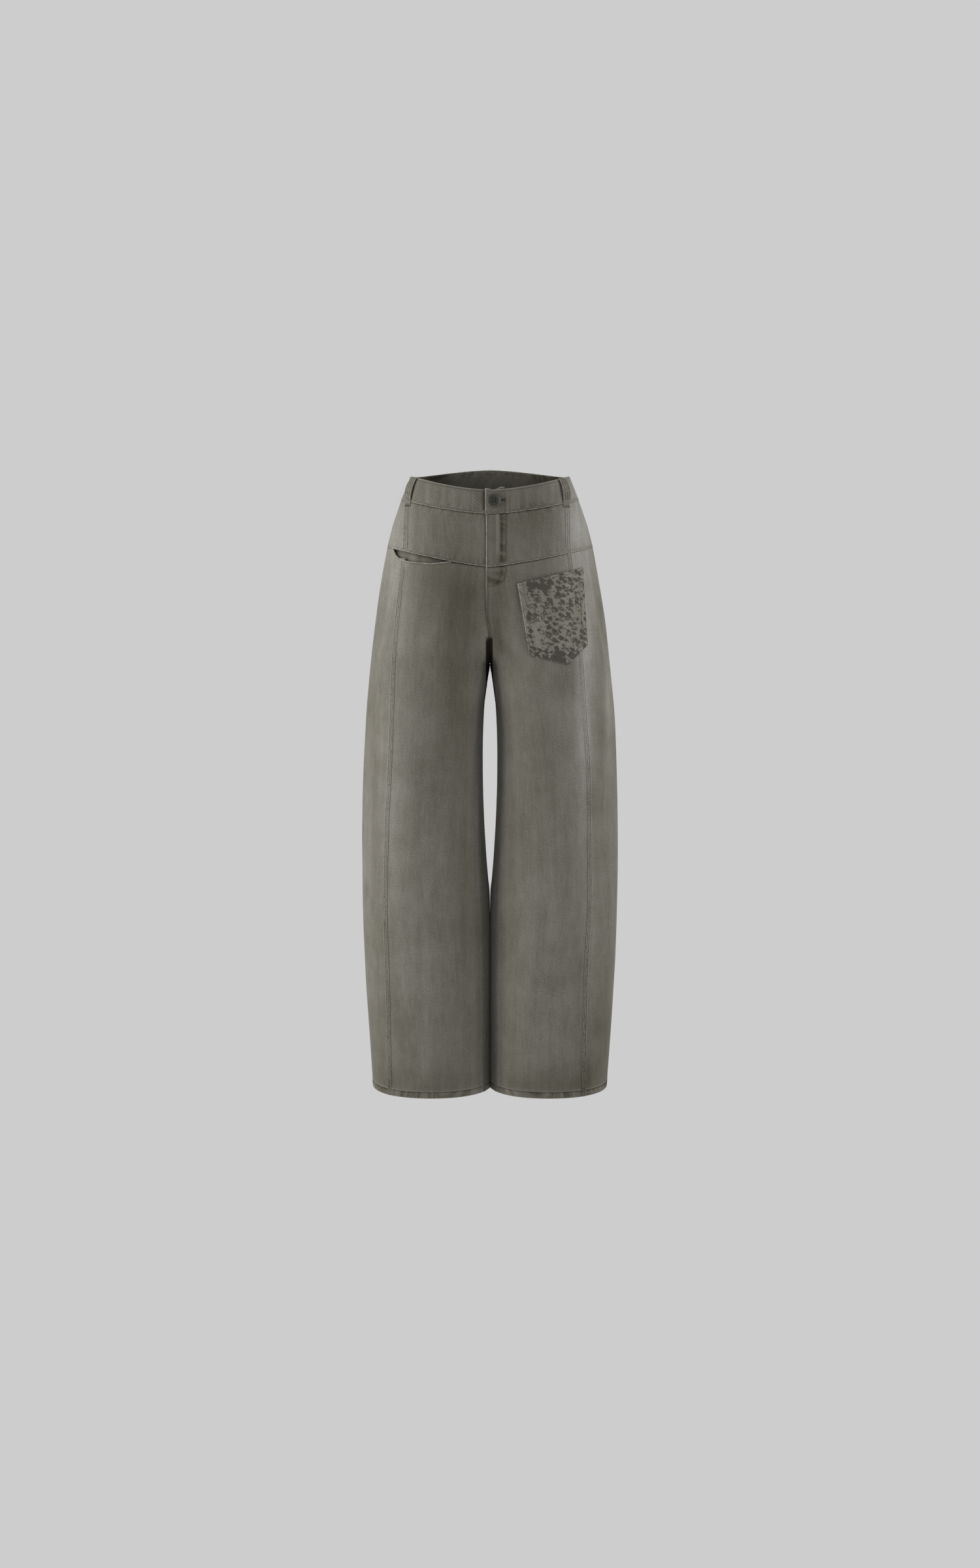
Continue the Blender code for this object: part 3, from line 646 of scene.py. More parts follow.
# Painted shade darkens the tone, and painted light, where the shade attribute is below zero, lightens it
painted_shade_factor = sum_of(washed, "MULTIPLY_ADD", mark(washed, "shade"), -0.72, 1.0)
tone = sum_of(washed, "MAXIMUM", sum_of(washed, "MULTIPLY", tone, painted_shade_factor), 0.05)
# Pale cloth is greyer and dark cloth browner, so blue follows the tone a little more steeply
channels = add_node(washed, "ShaderNodeCombineXYZ", {
    "X": tone, "Y": sum_of(washed, "POWER", tone, 1.04), "Z": sum_of(washed, "POWER", tone, 1.20)})
dyed = add_node(washed, "ShaderNodeVectorMath", {0: washed_in.outputs["Dye"], 1: channels.outputs[0]},
                operation="MULTIPLY")
rubbed = sum_of(washed, "MULTIPLY", sum_of(washed, "MULTIPLY_ADD", fleck, 1.6, 0.75), mark(washed, "wear"))
feed(washed, washed_out.inputs["Color"],
     mix_colours(washed, rubbed, dyed.outputs[0], washed_in.outputs["Worn"], clamp_factor=True))
feed(washed, washed_out.inputs["Height"], sum_of(washed, "MULTIPLY_ADD", fleck, 0.8, twill))

DYE = (0.150, 0.1408, 0.1150, 1.0)
WORN = (0.430, 0.415, 0.365, 1.0)


def cloth_finish(name, dye, worn_dye, **amounts):
    """A matt cotton material round the washed cloth group, and the group's node."""
    material, tree, shader = new_material(name, {
        "Roughness": 0.94, "Specular IOR Level": 0.18, "Sheen Roughness": 0.55})
    group = add_node(tree, "ShaderNodeGroup", node_tree=washed)
    for word, value in {"Dye": dye, "Worn": worn_dye, **amounts}.items():
        group.inputs[word].default_value = value
    bump = add_node(tree, "ShaderNodeBump", {
        "Strength": 0.55, "Distance": 0.00022, "Height": group.outputs["Height"]})
    feed(tree, shader.inputs["Normal"], bump.outputs["Normal"])
    feed(tree, shader.inputs["Base Color"], group.outputs["Color"])
    # Where shade is painted in, in seams and partings, the sheen is turned down too
    sheen_under_painted_shade = sum_of(tree, "MULTIPLY_ADD", mark(tree, "shade"), -0.13, 0.14)
    feed(tree, shader.inputs["Sheen Weight"], sum_of(tree, "MINIMUM", sheen_under_painted_shade, 0.14))
    return material, group


twill_finish, _ = cloth_finish("washed_twill", DYE, WORN)

# Painted light along the inner edges of the low front legs, where the legs meet: a shade below zero is paler
INNER_SHADE = {-1: -0.30, 1: -0.12}

# The painted deep shadow between the thighs: from how high to how low it shows, how softly it sets in
# and ends, and how far each side of the centre line it reaches
PARTING_TOP = -0.238
PARTING_ONSET = 0.009
PARTING_END = -0.345
PARTING_FADE = 0.035
PARTING_WIDTH = {-1: 0.0074, 1: 0.0052}
PARTING_DARKNESS = 1.5
# How high the painted light beside the gap sits, and how strong it is
GAP_TOP_HEIGHT = -0.322
GAP_SIDE_PAINTED_LIGHT = 0.62

# Rows and columns crowd together where a panel turns sharply
near_top = np.arange(0.0, 0.046, 0.0012)
near_hem = np.array([0.0135, 0.0125, 0.0117, 0.0111, 0.0106, 0.0101, 0.0095, 0.0085, 0.0072,
                     0.0058, 0.0044, 0.0030, 0.0020, 0.0012, 0.0006, 0.0002, 0.0])
FRONT_WIDTH = 0.2070
FRONT_SHARES = np.concatenate([
    np.arange(0.0, 0.034, 0.00105), np.arange(0.034, 0.2065, 0.0026), [FRONT_WIDTH]]) / FRONT_WIDTH
BACK_SHARES = np.linspace(0.0, 1.0, 126)


# The fly's stitching runs straight down to the bend and curves in to the centre line
FLY_BEND = -0.135
FLY_BEND_DEPTH = 0.0262
FLY_STITCH_END = FLY_BEND - FLY_BEND_DEPTH
FLY_STITCH_START = -0.003
FLY_STITCH_REACH = 0.0291


def hem_relief(run, height, seed):
    """The turned hem: a ridge over the stitch line, and puckers below it."""
    up = height - HEM_HEIGHT
    band = smooth_step((HEM_TURN + 0.0006 - up) / 0.0012)
    lift = 0.00045 * band - 0.00055 * bell(up - HEM_TURN, 0.0007)
    lift += 0.00035 * bell(up - HEM_TURN - 0.0022, 0.0012)
    leaning = run + 0.35 * up
    pucker = unevenness(leaning, 0.0042, seed) + 0.6 * unevenness(leaning, 0.0095, seed + 1)
    lift += 0.00042 * pucker * bell(up - 0.0055, 0.0062)
    wear = 0.30 * bell(up - HEM_TURN - 0.0016, 0.0010) + 0.16 * np.clip(pucker, 0, 1) * band
    wear += 0.12 * bell(up - 0.0008, 0.0009)
    # Painted shade along the stitch line and in the pucker troughs
    shade = 0.75 * bell(up - HEM_TURN + 0.0002, 0.0008) + 0.45 * np.clip(-pucker, 0, 1) * band
    return lift, wear, shade


def fly_relief(side, angles, heights):
    """The left front over the zip: a soft ridge, the curved stitch line, darker cloth inside."""
    if side < 0:
        return 0.0, 0.0, 0.0
    across = ring(angles, heights)[..., 0]
    front = np.sin(angles) < 0
    straight = smooth_step((heights + 0.139) / 0.004)
    curve = fly_curve(heights)
    line = np.maximum(bell(across - curve, 0.0008), 0.55 * bell(across - curve + 0.0075, 0.0012))
    line = line * front * (heights > FLY_STITCH_END)
    ridge = bell(across - 0.0125, 0.0024) * smooth_step((heights + 0.120) / 0.02) * front
    hollow = bell(across - 0.0195, 0.0042) * smooth_step((heights + 0.125) / 0.02) * front
    inside = smooth_step((curve - across) / 0.002) * (heights > FLY_STITCH_END) * front * (1 - straight)
    lift = -0.0005 * line + 0.0011 * ridge - 0.0004 * hollow
    behind = smooth_step((across - 0.0145) / 0.003) * smooth_step((curve - across) / 0.002) * straight * front
    pucker = unevenness(heights + 0.3 * across, 0.0042, 87) * (behind + inside)
    lift = lift + 0.00025 * pucker
    wear = 0.24 * ridge + 0.10 * np.clip(pucker, 0, 1)
    # Painted shade along the stitch groove and in the pucker troughs; the cloth behind the ridge and inside
    # the curve is darker
    return lift, wear, 0.62 * line + 0.22 * behind + 0.26 * inside + 0.30 * np.clip(-pucker, 0, 1)


def fly_curve(heights):
    """How far from the centre line the fly's stitching lies."""
    down = np.clip((FLY_BEND - heights) / FLY_BEND_DEPTH, 0.0, 1.0)
    return FLY_STITCH_START + FLY_STITCH_REACH * np.sqrt(np.maximum(1.0 - down**2.4, 0.0))


def leg_panel(word, side, angle_of, shares, cut):
    """One panel, from the yoke seam to the hem.  The right ones hang open at the slit pocket."""
    top = settle(angle_of, yoke_seam, shares)
    drop = np.zeros_like(top)
    if side < 0:
        edge = ring(angle_of(shares, top), top)
        drop = slit_drop(edge[:, 0]) * (edge[:, 1] < 0)
    top = top - drop
    high = top - near_top[-1]
    low = HEM_HEIGHT + near_hem[0]
    middle = np.linspace(0.0, 1.0, 176)[1:-1, None]
    heights = np.concatenate([
        top[None, :] - near_top[:, None],
        high[None, :] + (low - high)[None, :] * middle,
        HEM_HEIGHT + np.repeat(near_hem[:, None], len(shares), axis=1),
    ])
    angles = angle_of(shares[None, :], heights)
    pace = speed(angles, heights)
    from_top = top[None, :] - heights
    lift = drape(side, angles, heights) * smooth_step(from_top / 0.004)
    lift += LIP_STAND_OFF * drop * np.exp(-from_top / LIP_FADE)
    lift -= 0.0006 * bell(from_top, 0.0014) * (drop == 0)
    hem_lift, wear, shade = hem_relief(angles * pace, heights, 31 + side + 4 * len(word))
    fly_lift, fly_wear, fly_shade = fly_relief(side, angles, heights)
    lift = lift + hem_lift + fly_lift
    up = heights - HEM_HEIGHT
    thick = WALL + (HEM_WALL - WALL) * smooth_step((HEM_TURN - up) / 0.001)
    worn_edge = round_off(up, 0.0013)
    # Painted shadow along the top edge, under the yoke's turned edge, and the painted light and shade patches
    shade = shade + 1.00 * bell(from_top, 0.0019) * (drop < 0.001) + painted_light_and_shade(side, angles, heights)
    if "front" in word:
        from_inner = (angles - front_centre(side, heights)) * pace
        low_leg = smooth_step((-0.42 - heights) / 0.10)
        shade = shade + INNER_SHADE[side] * low_leg * smooth_step((0.016 - from_inner) / 0.006)
        above = heights > CROTCH_HEIGHT
        if side < 0:
            # Painted shadow beside the centre line, under the edge of the left front
            shade = shade + 0.95 * bell(from_inner, 0.0020) * above
        # Between the thighs the cloth turns in, and its deep shadow is painted in
        reach = PARTING_WIDTH[side] - ring(angles, heights)[..., 0]
        parting = smooth_step((PARTING_TOP - heights) / PARTING_ONSET)
        parting = parting * smooth_step((heights - PARTING_END) / PARTING_FADE)
        shade = shade + PARTING_DARKNESS * parting * smooth_step(reach / 0.0018)
        # The round of the thigh beside the gap gets painted light
        beside = smooth_step(-reach / 0.0012) * bell(reach + 0.0035, 0.0065)
        shade = shade - GAP_SIDE_PAINTED_LIGHT * beside * bell(heights - GAP_TOP_HEIGHT, 0.032)
    piece = cloth_wall(word + "_cloth", side, angles, heights, lift - worn_edge,
                       np.maximum(thick - 2 * worn_edge, THINNEST), wear + fly_wear,
                       shade + fly_shade, twill_finish, plumb=-1 if cut == "front" else 0)
    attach(piece, "root")
    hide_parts(word)
    return piece


for side, word in SIDES:
    leg_panel("front_leg_" + word, side, partial(front_angle, side), FRONT_SHARES, "front")
    leg_panel("back_leg_" + word, side, partial(back_angle, side), BACK_SHARES, "back")


# The four yokes: deep shaped pieces of the same twill between the waistband and the legs, cut
# to take in the waist without darts.  Their lower edges are turned under and topstitched.
WAISTBAND_DEPTH = 0.038
WAIST_FRONT = -0.006
WAIST_SIDE = 0.019
WAIST_BACK = 0.034
YOKE_SHARES = {"front": np.linspace(0.0, 1.0, 141), "back": np.linspace(0.0, 1.0, 111)}


def waist_top(angle):
    return level(angle, WAIST_FRONT, WAIST_SIDE, WAIST_BACK, 1.25)


def waist_seam(angle):
    return waist_top(angle) - WAISTBAND_DEPTH


def yoke_panel(word, side, angle_of, cut):
    shares = YOKE_SHARES[cut]
    top = settle(angle_of, waist_seam, shares)
    bottom = settle(angle_of, yoke_seam, shares)
    down = np.linspace(0.0, 1.0, 46)[:, None]
    heights = top[None, :] + (bottom - top)[None, :] * down
    angles = angle_of(shares[None, :], heights)
    lift = drape(side, angles, heights)
    fly_lift, fly_wear, fly_shade = fly_relief(side, angles, heights)
    from_top = top[None, :] - heights
    # Painted shadow under the waistband's lower edge, and the painted light and shade patches
    shade = 0.95 * bell(from_top, 0.0019) + painted_light_and_shade(side, angles, heights)
    run = angles * speed(angles, heights)
    near_seams = bell(from_top - 0.005, 0.006) + bell(heights - bottom[None, :] - 0.006, 0.007)
    drawn = unevenness(run + 0.2 * heights, 0.0058, 41 + side) + unevenness(run, 0.0130, 44 + side)
    drawn = drawn * near_seams
    lift = lift + 0.00018 * drawn
    worn = fly_wear + 0.06 * np.clip(drawn, 0, 1)
    # Painted shade in the troughs of the puckers near the seams
    shade = shade + 0.22 * np.clip(-drawn, 0, 1)
    if cut == "front":
        from_centre = (angles - front_centre(side, heights)) * speed(angles, heights)
        if side < 0:
            # Painted shadow beside the centre line, under the edge of the left front
            shade = shade + 0.9 * bell(from_centre, 0.0022)
    piece = cloth_wall(word + "_cloth", side, angles, heights, lift + fly_lift,
                       np.full_like(angles, WALL), worn, shade + fly_shade, twill_finish,
                       plumb=-1 if cut == "front" else 0)
    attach(piece, "root")
    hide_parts(word)
    return piece


for side, word in SIDES:
    yoke_panel("front_yoke_" + word, side, partial(front_angle, side), "front")
    yoke_panel("back_yoke_" + word, side, partial(back_angle, side), "back")


# The waistband: a doubled strip of twill in three pieces.  The left end laps over the centre
# and the right end runs on behind it as the underlap, whose corner shows above the edge.
BAND_LAP = 0.008
BAND_UNDERLAP = 0.023
UNDERLAP_RISE = 0.0055
UNDERLAP_RAMP_START = 0.3
UNDERLAP_RAMP = 0.50
UNDERLAP_RAMP_TOP = 0.85
CORNER_RISE = 0.0026
UNDERLAP_START = 0.0128
UNDERLAP_STEP = 0.0034
LAP_CLEARANCE = 0.0006
BAND_DRAPE = 0.5
TOP_STITCH = 0.0030
BAND_ROWS = np.concatenate([[0.0, 0.008, 0.02, 0.035, 0.055], np.linspace(0.08, 1.0, 26)])


def band_grid(angle_of, shares):
    top = settle(angle_of, waist_top, shares)
    bottom = settle(angle_of, waist_seam, shares)
    heights = top[None, :] + (bottom - top)[None, :] * BAND_ROWS[:, None]
    return angle_of(shares[None, :], heights), heights


def band_piece(name, side, angles, heights, lift):
    from_top = heights[:1] - heights
    run = angles * speed(angles, heights)
    across = ring(angles, heights)[..., 0]
    front = np.sin(angles) < 0
    gather = unevenness(run + 0.2 * heights, 0.0034, 57) + 0.7 * unevenness(run, 0.0080, 58)
    worn_edge = round_off(from_top, 0.0009)
    # The stiff top edge is worn pale, painted shade lies in the dip of the stitch line below it,
    # and the front gets the painted light and shade patches
    wear = 0.66 * bell(from_top, 0.0012)
    shade = 0.40 * bell(from_top - TOP_STITCH, 0.0008) + painted_light_and_shade(side, angles, heights) * front
    shade += 0.16 * unevenness(run - 0.6 * heights, 0.011, 59) * smooth_step(from_top / 0.012)
    if side > 0:
        wear = wear + 1.10 * bell(across + BAND_LAP - 0.0004, 0.0011) * front
    else:
        # Painted shadow beside the lap, and small slanting creases where the button pulls, with painted shade
        # in their troughs
        shade = shade + 0.70 * bell(across - BAND_LAP - 0.0008, 0.0008) * front
        slant = np.sin((heights - 0.8 * across) * 2 * np.pi / 0.0054) * bell(across - 0.026, 0.013) * front
        lift = lift + 0.00022 * slant
        wear = wear + 0.10 * np.clip(slant, 0, 1)
        shade = shade + 0.24 * np.clip(-slant, 0, 1)
    # The lower seam pulls the cloth into short puckers, worn pale on top, with painted shade between
    drawn = unevenness(run + 0.15 * heights, 0.0052, 63) + 0.6 * unevenness(run, 0.0115, 64)
    drawn = drawn * bell(WAISTBAND_DEPTH - 0.004 - from_top, 0.0065)
    lift = lift + 0.00022 * drawn
    wear = wear + 0.09 * np.clip(drawn, 0, 1)
    shade = shade + 0.30 * np.clip(-drawn, 0, 1)
    lift = lift - 0.0003 * bell(from_top - TOP_STITCH, 0.0009) - worn_edge
    inside_puckers = 0.00060 * gather * bell(from_top - 0.006, 0.007)
    wall = np.maximum(WALL + 0.0002 + inside_puckers - 2 * worn_edge, THINNEST)
    inside_wear = 0.40 * bell(from_top, 0.0010) + 0.12 * np.clip(gather, 0, 1) * bell(from_top - 0.005, 0.006)
    # Inside the waist the band gets painted shade, darker towards its ends and in the pucker troughs
    inside_shade = 0.26 + 0.50 * smooth_step((np.abs(across) - 0.055) / 0.035)
    inside_shade += 0.22 * np.clip(-gather, 0, 1) * bell(from_top - 0.006, 0.009)
    piece = cloth_wall(name + "_cloth", side, angles, heights, lift, wall, wear, shade, twill_finish,
                       inside_marks=(inside_wear, inside_shade))
    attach(piece, "root")
    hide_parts(name)
    return piece


shares = np.linspace(0.0, 1.0, 111)
End = namedtuple("End", "across rise")
for side, word in SIDES:
    angles, heights = band_grid(partial(front_angle, side), shares)
    if side > 0:
        ends = [End(-BAND_LAP + step, 0.0) for step in (0.0, 0.0003, 0.0007, 0.0011, 0.0015)]
    else:
        ends = []
        for share in np.linspace(1.0, 0.05, 20):
            ramp = np.clip((share - UNDERLAP_RAMP_START) / UNDERLAP_RAMP, 0.0, UNDERLAP_RAMP_TOP)
            ends.append(End(-BAND_UNDERLAP * share, UNDERLAP_RISE * ramp))
    near = heights[:, :1]
    for end in reversed(ends):
        raised = near + end.rise * (1.0 - BAND_ROWS[:, None]) ** 2
        heights = np.column_stack([raised, heights])
        angles = np.column_stack([angle_at(end.across, raised), angles])
    lift = BAND_DRAPE * drape(side, angles, heights)
    if side > 0:
        # The stitched corner of the left end stands up a little
        corner = bell(ring(angles, heights)[..., 0] + 0.0050, 0.0042)
        heights = heights + CORNER_RISE * corner * (1.0 - BAND_ROWS[:, None]) ** 2
    else:
        across = ring(angles, heights)[..., 0]
        lift = lift - (WALL + LAP_CLEARANCE + 0.0003) * smooth_step((UNDERLAP_START - across) / UNDERLAP_STEP)
    band_piece("waistband_front_" + word, side, angles, heights, lift)

halves = []
for side in (-1, 1):
    angles, heights = band_grid(partial(back_angle, side), shares)
    halves.append((math.pi - angles if side < 0 else angles, heights))
angles = np.column_stack([halves[0][0][:, :-1], halves[1][0][:, ::-1]])
heights = np.column_stack([halves[0][1][:, :-1], halves[1][1][:, ::-1]])
band_piece("waistband_back", 1, angles, heights, np.zeros_like(angles))


# The seams: the side seams, inseams and rises are felled, a folded ridge of cloth with two
# stitch rows that pucker it, and the yoke and band edges are turned under and stitched once
# In each ply, shade is painted shade: dark lines beside a ridge and in its stitch dips
Ply = namedtuple("Ply", "across rise pucker wear shade")
FELLED = [
    Ply(-0.0011, -0.0005, 0.0, 0.00, 0.20),
    Ply(-0.0005, 0.0001, 0.0, 0.00, 0.50),
    Ply(0.0000, 0.0006, 0.2, 0.10, 0.12),
    Ply(0.0005, 0.0010, 0.6, 0.20, 0.00),
    Ply(0.0014, 0.0012, 1.0, 0.15, 0.00),
    Ply(0.0021, 0.0009, 0.5, 0.07, 0.05),
    Ply(0.0026, 0.0005, 0.1, 0.00, 0.36),
    Ply(0.0031, 0.0008, 0.5, 0.05, 0.06),
    Ply(0.0041, 0.0010, 1.0, 0.17, 0.00),
    Ply(0.0050, 0.0008, 0.5, 0.05, 0.06),
    Ply(0.0055, 0.0005, 0.1, 0.00, 0.36),
    Ply(0.0060, 0.0007, 0.5, 0.05, 0.06),
    Ply(0.0069, 0.0009, 0.8, 0.14, 0.00),
    Ply(0.0078, 0.0006, 0.4, 0.04, 0.03),
    Ply(0.0086, 0.0001, 0.1, 0.00, 0.14),
    Ply(0.0091, -0.0005, 0.0, 0.00, 0.10),
]
TURNED = [
    Ply(-0.0016, -0.0006, 0.0, 0.00, 0.80),
    Ply(-0.0014, 0.0001, 0.0, 0.00, 0.95),
    Ply(-0.0005, 0.0001, 0.0, 0.00, 1.00),
    Ply(-0.0002, 0.0005, 0.2, 0.40, 0.10),
    Ply(0.0003, 0.0007, 0.4, 0.58, 0.00),
    Ply(0.0008, 0.0006, 0.3, 0.30, 0.00),
    Ply(0.0013, 0.0002, 0.1, 0.00, 0.42),
    Ply(0.0020, 0.0003, 0.2, 0.02, 0.05),
    Ply(0.0034, 0.0002, 0.2, 0.00, 0.00),
    Ply(0.0046, -0.0005, 0.0, 0.00, 0.00),
]
FELLED_STITCHES = (0.0026, 0.0055)
EDGE_STITCH = 0.0015
PUCKER_RISE = 0.00045
PLIES_A_DRAW = 5
SEAM_STEP = 0.0012
STITCH_SEAT = 0.0002


def length_along(points):
    steps = np.linalg.norm(np.diff(points, axis=0), axis=1)
    return np.concatenate([[0.0], np.cumsum(steps)])


def even_path(side, angles, heights):
    """The same path with a point at every seam step."""
    run = length_along(surface(side, angles, heights))
    even = np.linspace(0.0, run[-1], max(int(run[-1] / SEAM_STEP), 4))
    return np.interp(even, run, angles), np.interp(even, run, heights), even


def beside(path, turn_way, height_way, distance):
    angles, heights = path[0], path[1]
    return angles + turn_way * distance / speed(angles, heights), heights + height_way * distance


def seam_ridge(name, side, path, profile, turn_way, height_way, base=0.0, seed=71, strength=1.0,
               evenness=0.75, shadow=0.0):
    """A ridge of folded cloth along a seam, closed underneath, inside the panel's wall."""
    columns = []
    marks = {"wear": [], "shade": []}
    run = path[2]
    for number, ply in enumerate(profile):
        angle, height = beside(path, turn_way, height_way, ply.across)
        draw = seed + number // PLIES_A_DRAW
        pucker = unevenness(run, 0.0021, draw) + 0.7 * unevenness(run, 0.0053, draw + 9)
        rise = base + ply.rise + PUCKER_RISE * evenness * ply.pucker * pucker + drape(side, angle, height)
        columns.append(lifted(side, angle, height, rise))
        marks["wear"].append(strength * ply.wear * np.clip(0.75 + evenness * pucker, 0.0, 1.6))
        # Painted shade from the profile and in the pucker troughs, painted shadow along the path, and the
        # painted light and shade patches
        darkness = strength * ply.shade + 0.35 * ply.pucker * np.clip(-pucker, 0.0, 1.0)
        marks["shade"].append(darkness + shadow + painted_light_and_shade(side, angle, height))
    points = np.stack(columns, axis=1)
    rows, plies = points.shape[:2]
    faces = [list(face) for face in grid_faces(rows, plies)]
    for start in range(0, (rows - 1) * plies, plies):
        faces.append([start + plies - 1, start + 2 * plies - 1, start + plies, start])
    faces.append(list(range(plies)))
    faces.append([(rows - 1) * plies + j for j in range(plies - 1, -1, -1)])
    across = np.array([ply.across for ply in profile])
    places = np.stack(np.broadcast_arrays(across[None, :], run[:, None]), axis=-1).reshape(-1, 2)
    marks = {word: np.stack(values, axis=1).ravel() for word, values in marks.items()}
    flat = points.reshape(-1, 3)
    top = normal(side, path[0], path[1])
    outward = np.array([top[min(face[0] // plies, rows - 1)] for face in faces])
    piece = add_cloth(name, flat, faces, places, marks, twill_finish, outward)
    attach(piece, "root")
    return piece


def stitch_row(side, path, turn_way, height_way, distance, base=0.0, rise=0.0004):
    """The points of one row of stitches, lying in the dip of a ridge or on plain cloth."""
    angle, height = beside(path, turn_way, height_way, distance)
    return lifted(side, angle, height, base + rise + STITCH_SEAT + drape(side, angle, height))


# Stitches, by Geometry Nodes: a short bead of thread at every stitch pitch along each row
STITCH_PITCH = 0.0030
STITCH_LENGTH = 0.0023
THREAD = 0.00045
topstitch = bpy.data.node_groups.new("topstitch_row", "GeometryNodeTree")
topstitch.interface.new_socket("Rows", in_out="INPUT", socket_type="NodeSocketGeometry")
for word, value in (("Stitch pitch", STITCH_PITCH), ("Stitch length", STITCH_LENGTH), ("Thread", THREAD)):
    topstitch.interface.new_socket(word, in_out="INPUT", socket_type="NodeSocketFloat").default_value = value
topstitch.interface.new_socket("Thread finish", in_out="INPUT", socket_type="NodeSocketMaterial")
topstitch.interface.new_socket("Stitches", in_out="OUTPUT", socket_type="NodeSocketGeometry")
rows_in = topstitch.nodes.new("NodeGroupInput")
stitches_out = topstitch.nodes.new("NodeGroupOutput")
to_curve = topstitch.nodes.new("GeometryNodeMeshToCurve")
even_points = topstitch.nodes.new("GeometryNodeResampleCurve")
even_points.mode = "LENGTH"
bead = topstitch.nodes.new("GeometryNodeMeshUVSphere")
bead.inputs["Segments"].default_value = 6
bead.inputs["Rings"].default_value = 4
bead.inputs["Radius"].default_value = 0.5
tangent = topstitch.nodes.new("GeometryNodeInputTangent")
along_row = topstitch.nodes.new("FunctionNodeAlignRotationToVector")
along_row.axis = "Z"
bead_size = topstitch.nodes.new("ShaderNodeCombineXYZ")
placed = topstitch.nodes.new("GeometryNodeInstanceOnPoints")
realized = topstitch.nodes.new("GeometryNodeRealizeInstances")
threaded = topstitch.nodes.new("GeometryNodeSetMaterial")
for source, target in (
    (rows_in.outputs["Rows"], to_curve.inputs["Mesh"]),
    (to_curve.outputs["Curve"], even_points.inputs["Curve"]),
    (rows_in.outputs["Stitch pitch"], even_points.inputs["Length"]),
    (even_points.outputs["Curve"], placed.inputs["Points"]),
    (bead.outputs["Mesh"], placed.inputs["Instance"]),
    (tangent.outputs["Tangent"], along_row.inputs["Vector"]),
    (along_row.outputs["Rotation"], placed.inputs["Rotation"]),
    (rows_in.outputs["Thread"], bead_size.inputs["X"]),
    (rows_in.outputs["Thread"], bead_size.inputs["Y"]),
    (rows_in.outputs["Stitch length"], bead_size.inputs["Z"]),
    (bead_size.outputs["Vector"], placed.inputs["Scale"]),
    (placed.outputs["Instances"], realized.inputs["Geometry"]),
    (realized.outputs["Geometry"], threaded.inputs["Geometry"]),
    (rows_in.outputs["Thread finish"], threaded.inputs["Material"]),
    (threaded.outputs["Geometry"], stitches_out.inputs["Stitches"]),
):
    topstitch.links.new(source, target)

thread_finish, thread_tree, thread_shader = new_material("topstitch_thread", {
    "Roughness": 0.75, "Sheen Weight": 0.1})
thread_places = add_node(thread_tree, "ShaderNodeTexCoord").outputs["Object"]
ply_twist = add_node(thread_tree, "ShaderNodeTexNoise", {"Scale": 900.0, "Vector": thread_places})
thread_tone = add_node(thread_tree, "ShaderNodeValToRGB", {"Fac": ply_twist.outputs[0]})
thread_tone.color_ramp.elements[0].color = (0.100, 0.094, 0.078, 1.0)
thread_tone.color_ramp.elements[1].color = (0.210, 0.200, 0.172, 1.0)
feed(thread_tree, thread_shader.inputs["Base Color"], thread_tone.outputs["Color"])
# A near-black thread; in the button's holes it also stands in for their shadow
dark_thread, _, _ = new_material("dark_thread", {"Base Color": (0.034, 0.031, 0.025, 1.0), "Roughness": 0.8})


def sew(name, rows, pitch=STITCH_PITCH, length=STITCH_LENGTH, thread=THREAD, finish=thread_finish):
    """Rows of points become one plain mesh of stitches."""
    points = np.concatenate(rows)
    starts = np.cumsum([0] + [len(row) for row in rows])
    edges = [(start + i, start + i + 1) for start, row in zip(starts, rows) for i in range(len(row) - 1)]
    mesh = bpy.data.meshes.new(name + "_rows")
    mesh.from_pydata(points.tolist(), edges, [])
    guide = bpy.data.objects.new(name + "_rows", mesh)
    bpy.context.scene.collection.objects.link(guide)
    sewing = guide.modifiers.new("sewing", "NODES")
    sewing.node_group = topstitch
    values = {"Stitch pitch": pitch, "Stitch length": length, "Thread": thread, "Thread finish": finish}
    for item in topstitch.interface.items_tree:
        if item.in_out == "INPUT" and item.name in values:
            sewing[item.identifier] = values[item.name]
    made = guide.evaluated_get(bpy.context.evaluated_depsgraph_get())
    piece = bpy.data.objects.new(name, bpy.data.meshes.new_from_object(made))
    piece.data.shade_smooth()
    bpy.context.scene.collection.objects.link(piece)
    bpy.data.objects.remove(guide)
    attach(piece, "root")
    return piece


